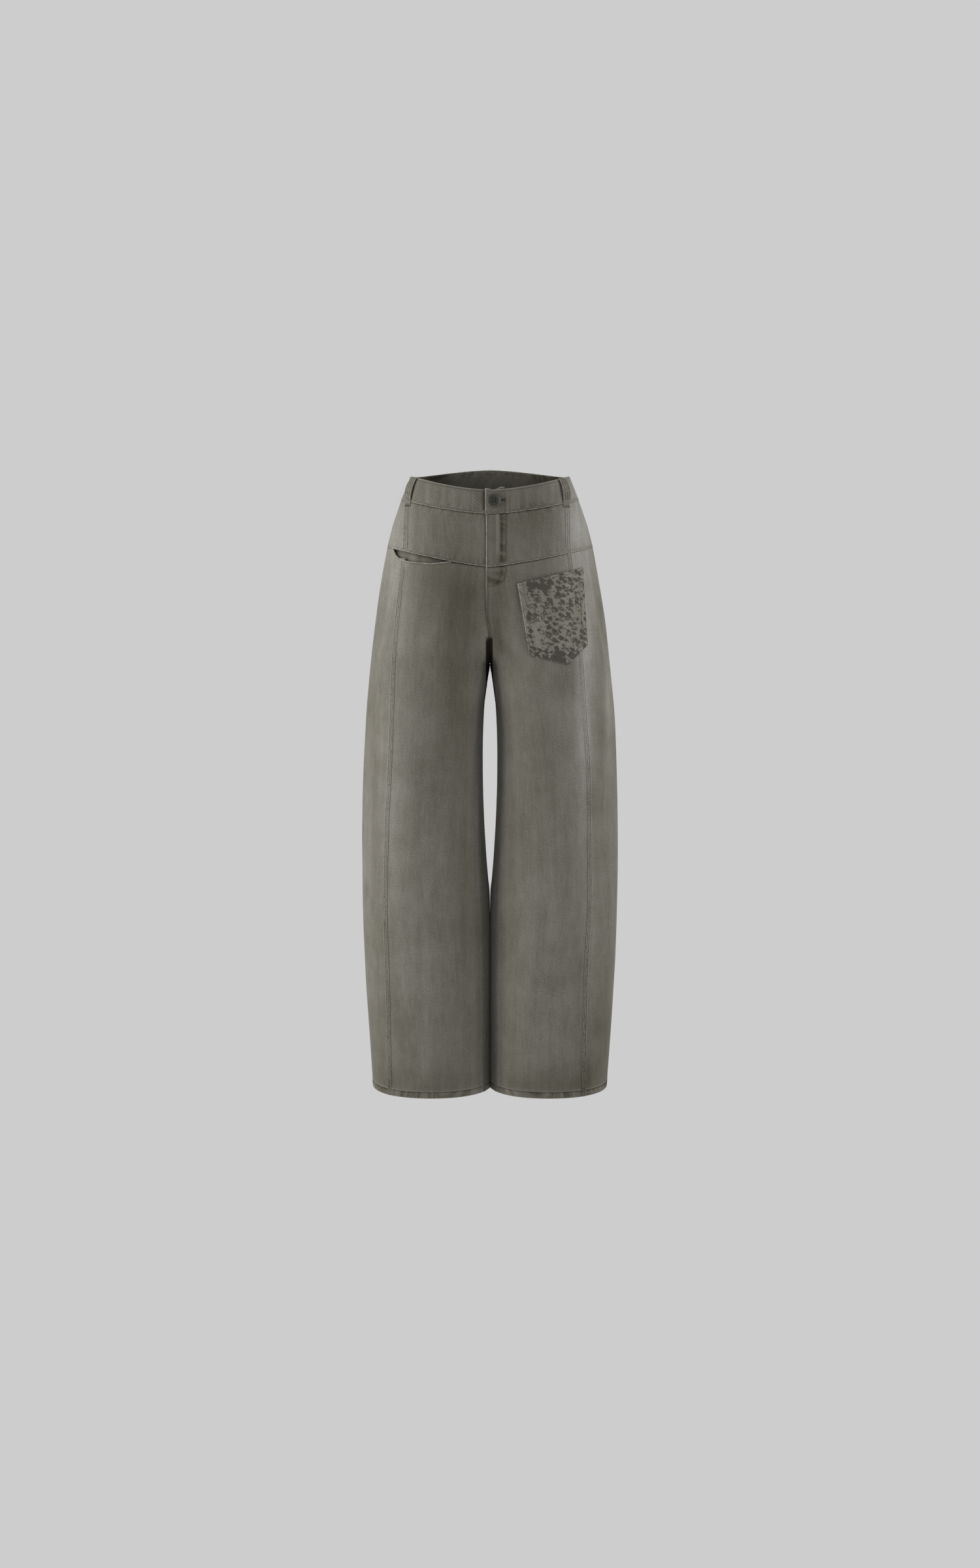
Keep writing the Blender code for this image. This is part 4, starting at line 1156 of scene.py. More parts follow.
LIP_AT_SEAM = -0.1148
YOKE_SEAM_BREADTH = 1.3
felled_rows = []
edge_rows = []
yoke_felled = [ply._replace(across=YOKE_SEAM_BREADTH * ply.across) for ply in FELLED]
TOWARDS_FRONT = -1
TOWARDS_SIDE = 1
for side, word in SIDES:
    # The right side seam starts at the slit pocket's lip, which stands off a little
    start = LIP_AT_SEAM if side < 0 else YOKE_SIDE - 0.0008
    low = np.linspace(start, HEM_HEIGHT + 0.0006, 900)
    path = even_path(side, side_seam(side, low), low)
    base = LIP_STAND_OFF * slit_drop(SEAM[side](start)) * np.exp((path[1] - start) / LIP_FADE) * (side < 0)
    seam_ridge("side_seam_leg_" + word, side, path, FELLED, TOWARDS_FRONT, 0.0, base=base, seed=80 + side)
    felled_rows += [stitch_row(side, path, TOWARDS_FRONT, 0.0, at, base=base) for at in FELLED_STITCHES]
    high = np.linspace(-0.0300, -0.0990, 200)
    path = even_path(side, side_seam(side, high), high)
    seam_ridge("side_seam_yoke_" + word, side, path, yoke_felled, TOWARDS_FRONT, 0.0, seed=180 + side)
    felled_rows += [stitch_row(side, path, TOWARDS_FRONT, 0.0, YOKE_SEAM_BREADTH * at)
                    for at in FELLED_STITCHES]
    inner = np.linspace(CROTCH_HEIGHT - 0.0010, HEM_HEIGHT + 0.0006, 700)
    path = even_path(side, -math.pi + inseam(inner), inner)
    seam_ridge("inseam_" + word, side, path, FELLED, TOWARDS_SIDE, 0.0, seed=280 + side, strength=0.8,
               evenness=0.30, shadow=smooth_step((path[1] + 0.350) / 0.030))
    felled_rows += [stitch_row(side, path, TOWARDS_SIDE, 0.0, at) for at in FELLED_STITCHES]
    for place, angle_of in (("front", front_angle), ("back", back_angle)):
        shares = np.linspace(0.0, 1.0, 300)
        heights = settle(partial(angle_of, side), yoke_seam, shares)
        path = even_path(side, angle_of(side, shares, heights), heights)
        seam_ridge(f"yoke_edge_{place}_{word}", side, path, TURNED, 0.0, 1.0, seed=380 + side)
        edge_rows.append(stitch_row(side, path, 0.0, 1.0, EDGE_STITCH, rise=0.0003))
        heights = settle(partial(angle_of, side), waist_seam, shares)
        angles = angle_of(side, shares, heights)
        if place == "front" and side > 0:
            lap = np.linspace(-BAND_LAP, -FLY_LAP, 6)[:-1]
            angles = np.concatenate([angle_at(lap, heights[0]), angles])
            heights = np.concatenate([np.full(5, heights[0]), heights])
        path = even_path(side, angles, heights)
        seam_ridge(f"band_edge_{place}_{word}", side, path, TURNED, 0.0, 1.0, seed=480 + side)
        edge_rows.append(stitch_row(side, path, 0.0, 1.0, EDGE_STITCH, rise=0.0003))

# The fly's edge ends where the shadow between the thighs begins, and so do its stitches
centre = np.linspace(-0.0440, -0.2435, 226)
fly_path = even_path(1, front_centre(1, centre), centre)
FLY_EDGE = [
    Ply(-0.0020, -0.0008, 0.0, 0.00, 1.00),
    Ply(-0.0018, 0.0002, 0.0, 0.00, 1.00),
    Ply(-0.0008, 0.0002, 0.0, 0.00, 1.00),
    Ply(-0.0006, 0.0006, 0.0, 0.30, 0.30),
    Ply(-0.0002, 0.0010, 0.2, 1.00, 0.00),
    Ply(0.0004, 0.0011, 0.3, 0.85, 0.00),
    Ply(0.0009, 0.0007, 0.2, 0.20, 0.00),
    Ply(0.0015, 0.0003, 0.0, 0.00, 0.20),
    Ply(0.0022, -0.0005, 0.0, 0.00, 0.05),
]
fading = 0.15 + 0.85 * smooth_step((fly_path[1] + 0.150) / 0.030)
seam_ridge("fly_edge", 1, fly_path, FLY_EDGE, TOWARDS_SIDE, 0.0, seed=580, strength=fading, evenness=0.30,
           shadow=0.5 * smooth_step((-0.170 - fly_path[1]) / 0.030)
           + 1.3 * smooth_step((PARTING_TOP - fly_path[1]) / PARTING_ONSET))
rise_part = np.linspace(-0.168, -0.241, 116)
path = even_path(1, front_centre(1, rise_part), rise_part)
edge_rows += [stitch_row(1, path, TOWARDS_SIDE, 0.0, at, rise=0.0005) for at in (0.0020, 0.0068)]
centre = np.linspace(0.0, CROTCH_HEIGHT + 0.004, 320)
path = even_path(1, back_centre(1, centre), centre)
seam_ridge("back_rise", 1, path, FELLED, TOWARDS_FRONT, 0.0, seed=590)
felled_rows += [stitch_row(1, path, TOWARDS_FRONT, 0.0, at) for at in FELLED_STITCHES]
sew("felled_seam_stitches", felled_rows)

# Stitch rows along the band's top edge, the hem and the curve of the fly
top_turn = np.linspace(-math.pi / 2, math.pi / 2, 400)
hem_turn = np.linspace(-math.pi, math.pi, 500)
for side in (-1, 1):
    path = even_path(side, top_turn, waist_top(top_turn) - TOP_STITCH)
    edge_rows.append(stitch_row(side, path, 0.0, 0.0, 0.0, rise=0.0))
    path = even_path(side, hem_turn, np.full_like(hem_turn, HEM_HEIGHT + HEM_TURN))
    edge_rows.append(stitch_row(side, path, 0.0, 0.0, 0.0, rise=0.0))
straight = np.linspace(-0.046, FLY_BEND, 60)
curved = FLY_BEND - FLY_BEND_DEPTH * np.sin(np.linspace(0, math.pi / 2, 40))
fly_heights = np.concatenate([straight, curved])
path = even_path(1, angle_at(fly_curve(fly_heights), fly_heights), fly_heights)
edge_rows.append(stitch_row(1, path, 0.0, 0.0, 0.0, rise=-0.0003))
sew("edge_stitches", edge_rows)


# The fly shield: a doubled strip behind the zip, sewn to the right front, with a rounded end
SHIELD_INNER = 0.028
SHIELD_OUTER = 0.034
SHIELD_END = -0.172
SHIELD_CURVE = 0.026
SHIELD_BELOW_BAND = 0.003
SHIELD_CLEARANCE = 0.0006
across = np.linspace(-SHIELD_INNER, SHIELD_OUTER, 41)
top = np.full_like(across, waist_seam(-math.pi / 2) - SHIELD_BELOW_BAND)
corner = np.clip(1.0 - (SHIELD_OUTER - across) / SHIELD_CURVE, 0.0, 1.0)
bottom = SHIELD_END + SHIELD_CURVE * (1.0 - np.sqrt(1.0 - corner**2))
heights = top[None, :] + (bottom - top)[None, :] * np.linspace(0.0, 1.0, 61)[:, None]
angles = angle_at(np.broadcast_to(across, heights.shape), heights)
shield = cloth_wall("fly_shield_cloth", 1, angles, heights,
                    np.full_like(angles, -WALL - LAP_CLEARANCE - SHIELD_CLEARANCE),
                    np.full_like(angles, WALL), 0.0, 0.0, twill_finish)
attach(shield, "root")
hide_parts("fly_shield")


# The slit pocket in the right yoke seam: the same twill shows behind its open mouth, and the
# mouth's lower lip is turned under and worn pale, with a bar of stitches at its inner end
FACING_ABOVE = 0.014
FACING_BELOW = 0.034
FACING_MARGIN = 0.008
FACING_CLEARANCE = 0.0011
TACK_ACROSS = 0.0632
LIP_EDGE = [
    Ply(-0.0004, -0.0012, 0.0, 0.20, 0.60),
    Ply(-0.0005, 0.0002, 0.0, 0.80, 0.00),
    Ply(-0.0001, 0.0007, 0.2, 1.00, 0.00),
    Ply(0.0005, 0.0008, 0.3, 1.00, 0.00),
    Ply(0.0010, 0.0005, 0.2, 0.55, 0.10),
    Ply(0.0014, 0.0001, 0.1, 0.00, 0.75),
    Ply(0.0020, 0.0001, 0.1, 0.00, 0.30),
    Ply(0.0028, -0.0003, 0.0, 0.00, 0.05),
    Ply(0.0030, -0.0008, 0.0, 0.00, 0.05),
]
across = np.linspace(SLIT[0].across - FACING_MARGIN, SLIT[-1].across + FACING_MARGIN / 2, 91)
seam = settle(angle_at, yoke_seam, across)
down = np.linspace(0.0, 1.0, 41)[:, None]
heights = (seam + FACING_ABOVE)[None, :] - (FACING_ABOVE + FACING_BELOW) * down
angles = np.broadcast_to(angle_at(across, seam), heights.shape)
# The facing gets painted shadow at both ends of the mouth and under the yoke, and one small pleat is painted
# in as a dark line with a painted highlight beside it
inner_end = smooth_step((0.092 - across) / 0.020)[None, :]
hollow = bell(across[None, :] - 0.084, 0.012) * bell(heights - seam[None, :] + 0.006, 0.010)
outer_end = smooth_step((across - 0.146) / 0.008)[None, :]
under_yoke = bell(heights - seam[None, :] + 0.001, 0.0045)
pleat = 0.30 * bell(across - 0.114, 0.004) + 0.0 * heights
shade = 0.04 + 0.45 * inner_end + 0.90 * outer_end + 0.50 * under_yoke + pleat
paler = 0.16 * bell(across - 0.125, 0.006) + 0.0 * heights
facing = cloth_wall("slit_pocket_facing_cloth", -1, angles, heights,
                    np.full_like(heights, -WALL - FACING_CLEARANCE) - 0.003 * hollow,
                    np.full_like(heights, WALL), paler, shade, twill_finish)
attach(facing, "root")
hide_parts("slit_pocket_facing")

lip_across = np.linspace(SLIT[0].across, SLIT[-1].across, 240)
lip_drop = slit_drop(lip_across)
lip_heights = settle(angle_at, yoke_seam, lip_across) - lip_drop
path = even_path(-1, angle_at(lip_across, lip_heights), lip_heights)
lip_base = np.interp(path[2], length_along(surface(-1, angle_at(lip_across, lip_heights), lip_heights)),
                     LIP_STAND_OFF * lip_drop)
seam_ridge("slit_lip", -1, path, LIP_EDGE, 0.0, -1.0, base=lip_base, seed=610, evenness=0.30)
lip_row = stitch_row(-1, path, 0.0, -1.0, EDGE_STITCH, base=lip_base, rise=0.0001)
sew("slit_lip_stitches", [lip_row])
tack_heights = np.linspace(-0.1185, -0.1235, 6)
path = even_path(-1, angle_at(np.full(6, TACK_ACROSS), tack_heights), tack_heights)
sew("slit_bar_tack", [stitch_row(-1, path, 0.0, 0.0, 0.0, rise=rise) for rise in (0.0006, 0.0011)],
    pitch=0.0007, length=0.0016, thread=0.0011)


# The patch pocket on the left thigh: paler twill printed with dark animal spots, five-cornered,
# sewn on across the side seam with two rows, with its mouth a little open
Corner = namedtuple("Corner", "across height")
POCKET_TOP_INNER = Corner(0.0438, -0.1553)
POCKET_TOP_OUTER = Corner(0.1494, -0.1302)
POCKET_LOW_INNER = Corner(0.0640, -0.2702)
POCKET_POINT = Corner(0.1262, -0.2847)
POCKET_LOW_OUTER = Corner(0.1572, -0.2540)
POCKET_WALL = 0.0018
POCKET_MOUTH = 0.0022
POCKET_DYE = (0.205, 0.194, 0.162, 1.0)
POCKET_WORN = (0.36, 0.345, 0.305, 1.0)
SPOT_DYE = (0.058, 0.053, 0.042, 1.0)
PRINT_START = 0.0585
POINT_SHARE = 9 / 14
POCKET_STITCHES = (0.0016, 0.0078)

print_finish, print_cloth = cloth_finish("printed_twill", POCKET_DYE, POCKET_WORN)
printed = print_finish.node_tree


def spots(tree, size, lean, stretch, reach, opening, seed):
    """Round blots, the odd one an open ring, on a grid of cells that a noise has warped."""
    places = cloth_places(tree, 1.0 / size, stretch / size, math.radians(lean))
    moved = add_node(tree, "ShaderNodeVectorMath", {0: places, 1: (seed, seed * 0.7, 0.0)}, operation="ADD")
    warp = add_node(tree, "ShaderNodeTexNoise", {"Scale": 1.6, "Detail": 1.0, "Vector": moved.outputs[0]})
    warped = {0: warp.outputs["Color"], 1: (0.75, 0.75, 0.0), 2: moved.outputs[0]}
    warped = add_node(tree, "ShaderNodeVectorMath", warped, operation="MULTIPLY_ADD")
    cells = add_node(tree, "ShaderNodeTexVoronoi", voronoi_dimensions="2D")
    for word, source in (("Scale", 1.0), ("Randomness", 0.85), ("Vector", warped.outputs[0])):
        feed(tree, cells.inputs[word], source)
    lot = add_node(tree, "ShaderNodeSeparateColor", {0: cells.outputs["Color"]})
    far = cells.outputs["Distance"]
    edge = sum_of(tree, "MULTIPLY_ADD", lot.outputs[0], 0.20, reach)
    blot = sum_of(tree, "SUBTRACT", edge, far)
    middle = sum_of(tree, "MULTIPLY", sum_of(tree, "SUBTRACT", lot.outputs[1], 0.55), opening)
    hole = sum_of(tree, "SUBTRACT", far, middle)
    return sum_of(tree, "MINIMUM", blot, hole)


large = spots(printed, 0.0121, 24, 1.45, 0.30, 0.42, 3.7)
small = spots(printed, 0.0072, -14, 1.2, 0.12, 0.30, 9.1)
both = sum_of(printed, "MAXIMUM", large, small)
dense = around_zero(printed, mark(printed, "print_density"))
ragged = around_zero(printed, noise_over(printed, cloth_places(printed, 420.0, 420.0), 3.0))
inked = sum_of(printed, "MULTIPLY_ADD", dense, 0.75, both)
inked = sum_of(printed, "MULTIPLY_ADD", ragged, 0.30, inked)
ink = add_node(printed, "ShaderNodeMapRange", {
    "Value": inked, "From Min": -0.04, "From Max": 0.14, "To Max": 0.92})
feed(printed, printed.nodes["Principled BSDF"].inputs["Base Color"],
     mix_colours(printed, ink.outputs[0], print_cloth.outputs["Color"], SPOT_DYE))

# Where the spots crowd together, or thin out where the amount is below zero
EVEN_DENSITY = 0.52
Crowd = namedtuple("Crowd", "across height width tall amount")
CROWDS = [
    Crowd(0.076, -0.158, 0.026, 0.010, 0.42),
    Crowd(0.104, -0.2720, 0.030, 0.010, 0.38),
    Crowd(0.076, -0.238, 0.010, 0.012, -0.20),
    Crowd(0.143, -0.198, 0.009, 0.012, -0.20),
]
POCKET_EDGE = [
    Ply(0.0000, -0.0006, 0.0, 0.55, 0.20),
    Ply(0.0004, 0.0002, 0.0, 0.80, 0.00),
    Ply(0.0010, 0.0004, 0.5, 0.60, 0.00),
    Ply(0.0016, 0.0000, 0.1, 0.10, 0.70),
    Ply(0.0022, 0.0003, 0.6, 0.30, 0.00),
    Ply(0.0050, 0.0003, 1.0, 0.10, 0.00),
    Ply(0.0068, 0.0003, 0.7, 0.25, 0.00),
    Ply(0.0078, -0.0002, 0.1, 0.00, 0.60),
    Ply(0.0088, 0.0001, 0.3, 0.10, 0.00),
    Ply(0.0120, 0.0000, 0.0, 0.00, 0.00),
]


def edge_distance(points, start, end):
    """The distance of plan points from a straight edge."""
    way = np.array(end) - np.array(start)
    share = np.clip(((points - np.array(start)) @ way) / (way @ way), 0.0, 1.0)
    return np.linalg.norm(points - np.array(start) - share[..., None] * way, axis=-1)


columns = np.linspace(0.0, 1.0, 116)
down = np.concatenate([[0.0, 0.003, 0.007], np.linspace(0.012, 0.988, 112), [0.993, 0.997, 1.0]])
plan = []
for axis in range(2):
    top = np.interp(columns, [0, 1], [POCKET_TOP_INNER[axis], POCKET_TOP_OUTER[axis]])
    lower = [POCKET_LOW_INNER[axis], POCKET_POINT[axis], POCKET_LOW_OUTER[axis]]
    bottom = np.interp(columns, [0, POINT_SHARE, 1], lower)
    plan.append(top[None, :] + (bottom - top)[None, :] * down[:, None])
plan = np.stack(plan, axis=-1)
sewn_edges = [(POCKET_TOP_INNER, POCKET_LOW_INNER), (POCKET_LOW_INNER, POCKET_POINT),
              (POCKET_POINT, POCKET_LOW_OUTER), (POCKET_LOW_OUTER, POCKET_TOP_OUTER)]
from_edge = np.min([edge_distance(plan, *edge) for edge in sewn_edges], axis=0)
from_mouth = edge_distance(plan, POCKET_TOP_INNER, POCKET_TOP_OUTER)
across, heights = plan[..., 0], plan[..., 1]
angles = angle_at(across, heights)
ply_at = [ply.across for ply in POCKET_EDGE]
rise, puckered, wear, shade = (np.interp(from_edge, ply_at, [getattr(ply, word) for ply in POCKET_EDGE])
                               for word in ("rise", "pucker", "wear", "shade"))
pucker = unevenness(across + heights, 0.0026, 701) + 0.7 * unevenness(heights - across, 0.006, 702)
mouth = np.sin(np.pi * columns)[None, :] * (1.0 - down[:, None]) ** 4
base = LAP_CLEARANCE + POCKET_WALL + POCKET_MOUTH * mouth + drape(1, angles, heights)
base += 0.0006 * unevenness(across + 0.4 * heights, 0.021, 703) * smooth_step(from_edge / 0.02)
lift = base + rise + PUCKER_RISE * puckered * pucker
worn_edge = round_off(from_mouth, 0.0008)
wear = 0.7 * wear * np.clip(0.8 + 0.7 * pucker, 0, 1.4) + 0.55 * bell(from_mouth, 0.0011)
# Painted shade in the stitch dips of the profile and in the pucker troughs, and a painted shadow below the
# open mouth
shade = shade + 0.3 * puckered * np.clip(-pucker, 0, 1) + 0.4 * bell(from_mouth - 0.0035, 0.0008)
pocket = cloth_wall("patch_pocket_cloth", 1, angles, heights, lift - worn_edge,
                    np.maximum(POCKET_WALL - 2 * worn_edge, THINNEST), wear, shade, print_finish)
density = np.full_like(across, EVEN_DENSITY)
for crowd in CROWDS:
    beside = bell(across - crowd.across, crowd.width)
    density += crowd.amount * beside * bell(heights - crowd.height, crowd.tall)
density -= 0.9 * smooth_step((PRINT_START - across) / 0.003)
layer = pocket.data.attributes.new("print_density", "FLOAT", "POINT")
layer.data.foreach_set("value", np.tile(np.clip(density, 0.0, 1.0).ravel(), 2).astype(np.float32))
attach(pocket, "root")
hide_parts("patch_pocket")


def drawn_in(corners, distance):
    """The open outline moved inwards, towards the pocket's middle, by a distance."""
    moved = []
    middle = np.mean(corners, axis=0)
    lines = []
    for start, end in zip(corners, corners[1:]):
        way = (end - start) / np.linalg.norm(end - start)
        inward = np.array([-way[1], way[0]])
        if inward @ (middle - start) < 0:
            inward = -inward
        lines.append((start + inward * distance, way))
    moved.append(lines[0][0])
    for (first, way), (second, turn) in zip(lines, lines[1:]):
        along = np.linalg.solve(np.stack([way, -turn], axis=1), second - first)
        moved.append(first + way * along[0])
    moved.append(lines[-1][0] + lines[-1][1] * np.linalg.norm(corners[-1] - corners[-2]))
    return np.array(moved)


outline = np.array([POCKET_TOP_INNER, POCKET_LOW_INNER, POCKET_POINT, POCKET_LOW_OUTER, POCKET_TOP_OUTER])
pocket_rows = []
for distance in POCKET_STITCHES:
    corners = drawn_in(outline, distance)
    run = length_along(corners)
    even = np.linspace(0.004, run[-1] - 0.004, 240)
    row_across = np.interp(even, run, corners[:, 0])
    row_heights = np.interp(even, run, corners[:, 1])
    row_angles = angle_at(row_across, row_heights)
    lift = LAP_CLEARANCE + POCKET_WALL + STITCH_SEAT + drape(1, row_angles, row_heights)
    pocket_rows.append(lifted(1, row_angles, row_heights, lift))
sew("patch_pocket_stitches", pocket_rows)


# The belt loops: folded strips of twill with three rows of stitches, caught in at the band's
# top edge and turned under at their lower end, standing off the band between
LOOP_WIDTH = 0.0128
LOOP_WALL = 0.0016
LOOP_STAND_OFF = 0.0022
LOOP_OUTER_LIFT = 0.0044
LOOP_BELOW_TOP = 0.0004
LOOP_BELOW_BAND = 0.009
LOOP_LOWER_TACK = 0.84
LOOP_FULLNESS = 0.6
LOOP_ROW_DIPS = (-0.0036, 0.0, 0.0036)
LOOPS = [
    ("belt_loop_front_right", -1, -28.0),
    ("belt_loop_front_left", 1, -35.0),
    ("belt_loop_back", 1, 90.0),
]
loop_rows = []
for name, side, degrees in LOOPS:
    middle = math.radians(degrees)
    top = waist_top(middle) - LOOP_BELOW_TOP
    bottom = waist_seam(middle) - LOOP_BELOW_BAND
    down = np.concatenate([[0.0, 0.006, 0.015], np.linspace(0.025, 0.975, 62), [0.985, 0.994, 1.0]])
    height = top + (bottom - top) * down
    line = np.full_like(height, middle)
    if degrees < 0:
        seam = side_seam(side, height)
        line = seam + middle - seam[0]
    breadth = np.concatenate([[-1.0, -0.97, -0.92], np.linspace(-0.84, 0.84, 29), [0.92, 0.97, 1.0]])
    angles = line[:, None] + (LOOP_WIDTH / 2 / speed(line, height))[:, None] * breadth
    heights = np.repeat(height[:, None], len(breadth), axis=1)
    off_middle = breadth * LOOP_WIDTH / 2
    if degrees > 0:
        angles = angle_at(-off_middle[None, :], heights, 1)
    dips = sum(bell(off_middle - dip, 0.0006) for dip in LOOP_ROW_DIPS)[None, :]
    run = (top - height)[:, None]
    pucker = unevenness(run + 0.3 * off_middle, 0.0024, 801 + len(name)) + 0.0 * angles
    arch = np.sin(np.pi * np.clip(down / LOOP_LOWER_TACK, 0.0, 1.0)) ** LOOP_FULLNESS
    from_side = LOOP_WIDTH / 2 - np.abs(off_middle)
    from_end = np.minimum(top - height, height - bottom)
    edges = np.maximum(round_off(from_side, 0.0009)[None, :], round_off(from_end, 0.0009)[:, None])
    tack = bell(height - bottom - 0.0028, 0.0012)[:, None]
    # The front loops are twisted a little, so that they face the front
    twist = LOOP_OUTER_LIFT * (0.25 + 0.75 * arch) * (degrees < 0)
    middle_lift = LAP_CLEARANCE / 2 + LOOP_WALL + LOOP_STAND_OFF * arch + twist / 2
    lift = middle_lift[:, None] + twist[:, None] * breadth / 2
    lift = lift - 0.0004 * dips + 0.0002 * pucker - 0.0005 * tack - edges
    wear = 0.40 * bell(from_side, 0.0009)[None, :] + 0.14 * np.clip(pucker, 0, 1)
    wear = wear + 0.12 * (1.0 - bell(from_end, 0.001)[:, None])
    # Painted shade in the stitch dips, at the lower tack and in the pucker troughs, and a painted shadow
    # along the lower end
    shade = 0.55 * dips + 0.40 * tack + 0.3 * np.clip(-pucker, 0, 1)
    shade = shade + 0.9 * bell(height - bottom, 0.0012)[:, None]
    wall = np.maximum(LOOP_WALL + 0.0 * lift - 2 * edges, THINNEST)
    loop = cloth_wall(name + "_cloth", side, angles, heights, lift, wall, wear, shade, twill_finish)
    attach(loop, "root")
    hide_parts(name)
    for dip in LOOP_ROW_DIPS:
        row = line + dip / speed(line, height) if degrees < 0 else angle_at(-dip, height, 1)
        lift = middle_lift + twist * dip / LOOP_WIDTH - STITCH_SEAT
        loop_rows.append(lifted(side, row, height, lift)[4:-4])
sew("belt_loop_stitches", loop_rows, pitch=0.0026, length=0.0020, thread=0.0005)


# The waist button: 22.5 mm across, grey-green plastic with a broad raised rim and four holes,
# sewn on through them with dark thread that lies deep in the holes and stands in for their shadow
BUTTON_RADIUS = 0.01125
BUTTON_THICKNESS = 0.0030
BUTTON_RIM = 0.0026
BUTTON_WELL = 0.0010
BUTTON_HOLE_RADIUS = 0.0010
BUTTON_HOLE_PITCH = 0.0040
BUTTON_ACROSS = 0.0063
BUTTON_HEIGHT = -0.0233
# The colour of the painted highlight on the rim
RIM_HIGHLIGHT_COLOUR = (0.140, 0.137, 0.108, 1.0)
plastic, plastic_tree, plastic_shader = new_material("button_plastic", {
    "Roughness": 0.42, "Specular IOR Level": 0.4})
plastic_places = add_node(plastic_tree, "ShaderNodeTexCoord").outputs["Object"]
cloudy = add_node(plastic_tree, "ShaderNodeTexNoise",
                  {"Scale": 240.0, "Detail": 4.0, "Vector": plastic_places})
plastic_tone = add_node(plastic_tree, "ShaderNodeValToRGB", {"Fac": cloudy.outputs[0]})
for stop, position, colour in ((0, 0.3, (0.028, 0.028, 0.021, 1.0)), (1, 0.75, (0.052, 0.052, 0.040, 1.0))):
    plastic_tone.color_ramp.elements[stop].position = position
    plastic_tone.color_ramp.elements[stop].color = colour
# The wear attribute mixes in the painted highlight on the rim
feed(plastic_tree, plastic_shader.inputs["Base Color"],
     mix_colours(plastic_tree, mark(plastic_tree, "wear"), plastic_tone.outputs["Color"], RIM_HIGHLIGHT_COLOUR))

Turned = namedtuple("Turned", "radius height")
half = BUTTON_THICKNESS / 2
inner = BUTTON_RADIUS - BUTTON_RIM
BUTTON_PROFILE = [
    Turned(0.0, half - BUTTON_WELL),
    Turned(inner - 0.0016, half - BUTTON_WELL),
    Turned(inner - 0.0007, half - BUTTON_WELL * 0.8),
    Turned(inner, half - BUTTON_WELL * 0.3),
    Turned(inner + 0.0006, half),
    Turned(BUTTON_RADIUS - 0.0012, half + 0.0001),
    Turned(BUTTON_RADIUS - 0.0005, half - 0.0001),
    Turned(BUTTON_RADIUS - 0.0001, half - 0.0005),
    Turned(BUTTON_RADIUS, half - 0.0010),
    Turned(BUTTON_RADIUS, -half + 0.0008),
    Turned(BUTTON_RADIUS - 0.0003, -half + 0.0002),
    Turned(BUTTON_RADIUS - 0.0010, -half),
    Turned(0.0, -half),
]
seat_height = np.array(BUTTON_HEIGHT)
seat_angle = angle_at(BUTTON_ACROSS, seat_height)
seat_out = normal(1, seat_angle, seat_height)
seat_point = surface(1, seat_angle, seat_height) + seat_out * (half + LAP_CLEARANCE)
facing_turn = math.atan2(seat_out[1], seat_out[0]) + math.pi / 2
seat = Matrix.Translation(Vector(seat_point)) @ Matrix.Rotation(facing_turn, 4, "Z")
seat = seat @ Matrix.Rotation(math.acos(seat_out[2]), 4, "X")
BUTTON_SIDES = 72
turned_points = [(0.0, 0.0, BUTTON_PROFILE[0].height)]
for place in BUTTON_PROFILE[1:-1]:
    for step in range(BUTTON_SIDES):
        turn = 2 * math.pi * step / BUTTON_SIDES
        turned_points.append((place.radius * math.cos(turn), place.radius * math.sin(turn), place.height))
turned_points.append((0.0, 0.0, BUTTON_PROFILE[-1].height))
turned_faces = [(0, 1 + step, 1 + (step + 1) % BUTTON_SIDES) for step in range(BUTTON_SIDES)]
for level_number in range(len(BUTTON_PROFILE) - 3):
    start = 1 + level_number * BUTTON_SIDES
    for step in range(BUTTON_SIDES):
        after = (step + 1) % BUTTON_SIDES
        below = start + BUTTON_SIDES
        turned_faces.append((start + step, below + step, below + after, start + after))
last = len(turned_points) - 1
start = last - BUTTON_SIDES
turned_faces += [(last, start + (step + 1) % BUTTON_SIDES, start + step) for step in range(BUTTON_SIDES)]
button_mesh = bpy.data.meshes.new("button_blank")
button_mesh.from_pydata(turned_points, [], turned_faces)
blank = bpy.data.objects.new("button_blank", button_mesh)
scene.collection.objects.link(blank)
drills = []
for x in (-1, 1):
    for y in (-1, 1):
        place = (x * BUTTON_HOLE_PITCH / 2, y * BUTTON_HOLE_PITCH / 2, 0.0)
        bpy.ops.mesh.primitive_cylinder_add(vertices=20, radius=BUTTON_HOLE_RADIUS,
                                            depth=3 * BUTTON_THICKNESS, location=place)
        drills.append(bpy.context.active_object)
        hole = blank.modifiers.new("hole", "BOOLEAN")
        hole.operation = "DIFFERENCE"
        hole.solver = "EXACT"
        hole.object = drills[-1]
made = blank.evaluated_get(bpy.context.evaluated_depsgraph_get())
button = bpy.data.objects.new("waist_button", bpy.data.meshes.new_from_object(made))
for thing in drills + [blank]:
    bpy.data.objects.remove(thing)
scene.collection.objects.link(button)
places = np.zeros(len(button.data.vertices) * 3)
button.data.vertices.foreach_get("co", places)
places = places.reshape(-1, 3)
from_axis = np.hypot(places[:, 0], places[:, 1])
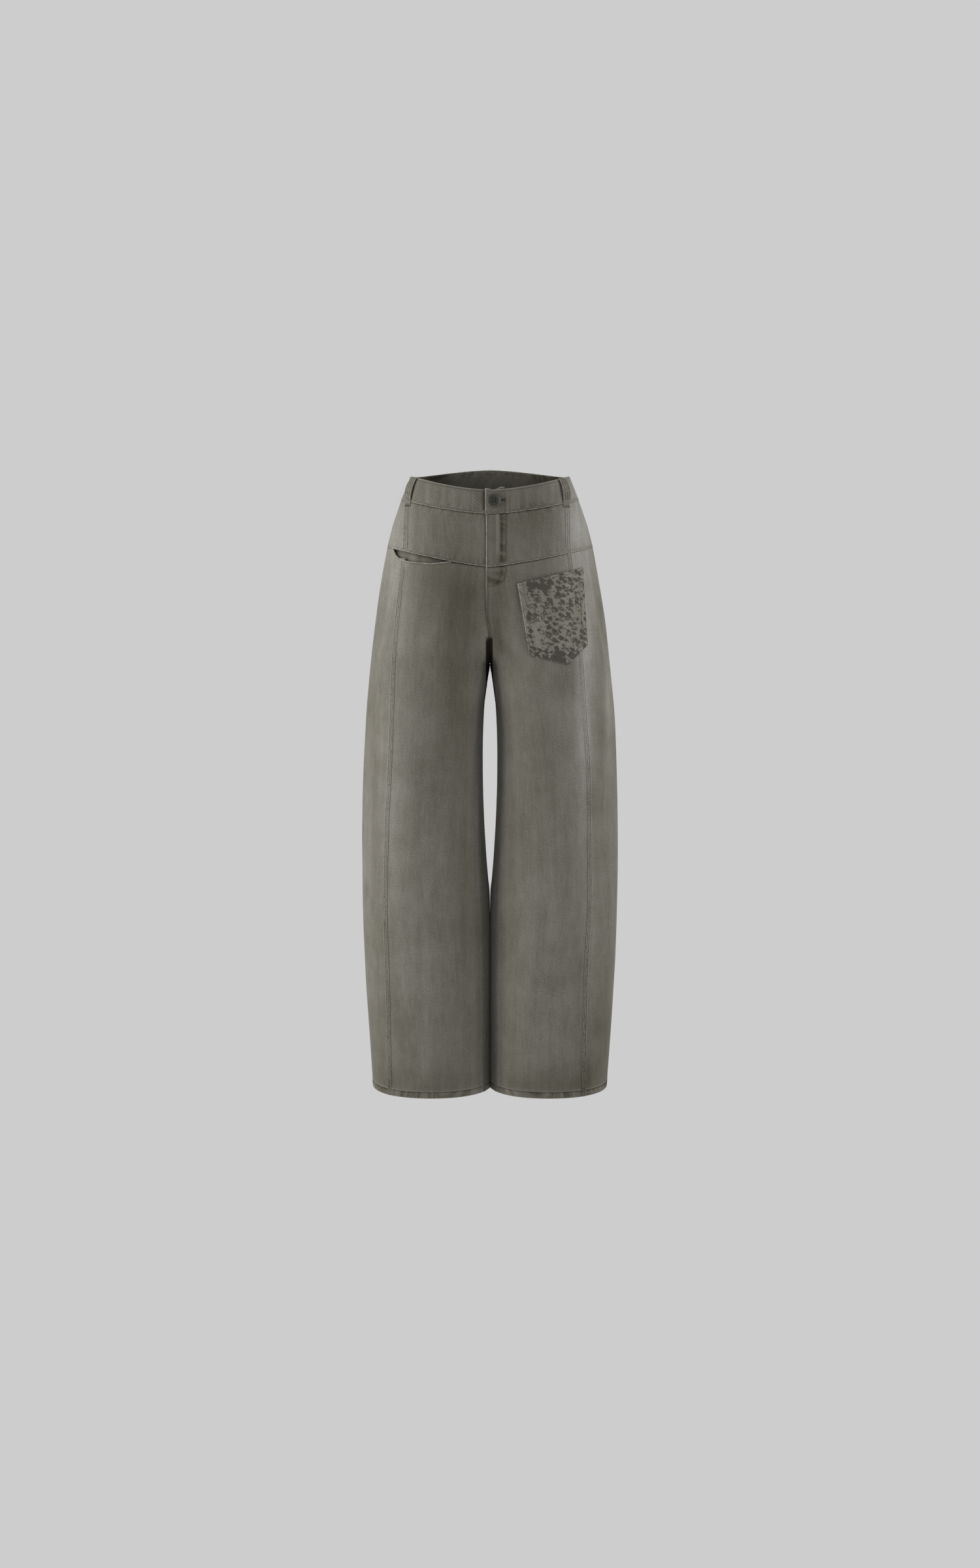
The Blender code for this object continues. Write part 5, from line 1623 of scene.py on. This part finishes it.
# A painted highlight round the rim's outer edge and, fainter, at the edge of the well, kept in the wear
# attribute
rim = bell(from_axis - BUTTON_RADIUS + 0.0003, 0.0004) + 0.35 * bell(from_axis - inner - 0.0004, 0.0005)
layer = button.data.attributes.new("wear", "FLOAT", "POINT")
layer.data.foreach_set("value", (0.8 * np.clip(rim, 0, 1) * (places[:, 2] > 0)).astype(np.float32))
button.data.transform(seat)
button.data.shade_smooth()
button.data.set_sharp_from_angle(angle=math.radians(38))
button.data.materials.clear()
button.data.materials.append(plastic)
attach(button, "root")
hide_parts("button")

bars = []
for x in (-1, 1):
    for shift in (-0.00035, 0.0, 0.00035):
        ends = [seat @ Vector((x * BUTTON_HOLE_PITCH / 2 + shift, y * BUTTON_HOLE_PITCH / 2, -0.0003))
                for y in np.linspace(-1, 1, 12)]
        bars.append(np.array(ends))
sew("button_thread", bars, pitch=0.0006, length=0.0011, thread=0.0005, finish=dark_thread)


# The buttonhole: a slot in the band's left end, bound with close stitches, that shows beside
# the button with the small fan at its outer end
HOLE_START = 0.0165
HOLE_END = 0.0238
HOLE_HEIGHT = -0.0222
slot_across = np.linspace(HOLE_START, HOLE_END, 24)


def on_band(across, height, rise):
    """A point of the left band's front, that far above its cloth."""
    angle = angle_at(across, height)
    return lifted(1, angle, height, BAND_DRAPE * drape(1, angle, height) + rise)


bound = []
for offset in (-0.00085, 0.00085):
    bound.append(on_band(slot_across, np.full_like(slot_across, HOLE_HEIGHT + offset), 0.0003))
for way in (-1, 1):
    stroke = np.linspace(0.0, 0.0026, 8)
    bound.append(on_band(HOLE_END - 0.0012 + stroke, HOLE_HEIGHT + way * 0.75 * stroke, 0.0003))
sew("buttonhole_binding", bound, pitch=0.00065, length=0.0011, thread=0.0008, finish=dark_thread)
slot_offsets = np.linspace(-0.00050, 0.00050, 5)
slot_faces = wall_faces(len(slot_offsets), len(slot_across))
slot_points = np.concatenate([on_band(slot_across, np.full_like(slot_across, HOLE_HEIGHT + offset), rise)
                              for rise in (0.00025, -0.0004) for offset in slot_offsets])
# The slot is a thin sheet painted fully dark, standing in for the shadow in the opening
slot_marks = {"wear": np.zeros(len(slot_points)), "shade": np.ones(len(slot_points))}
slot_piece = add_cloth("buttonhole_slot", slot_points, slot_faces, np.zeros((len(slot_points), 2)),
                       slot_marks, twill_finish, np.tile([0.0, -1.0, 0.0], (len(slot_faces), 1)))
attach(slot_piece, "root")


bpy.context.view_layer.update()
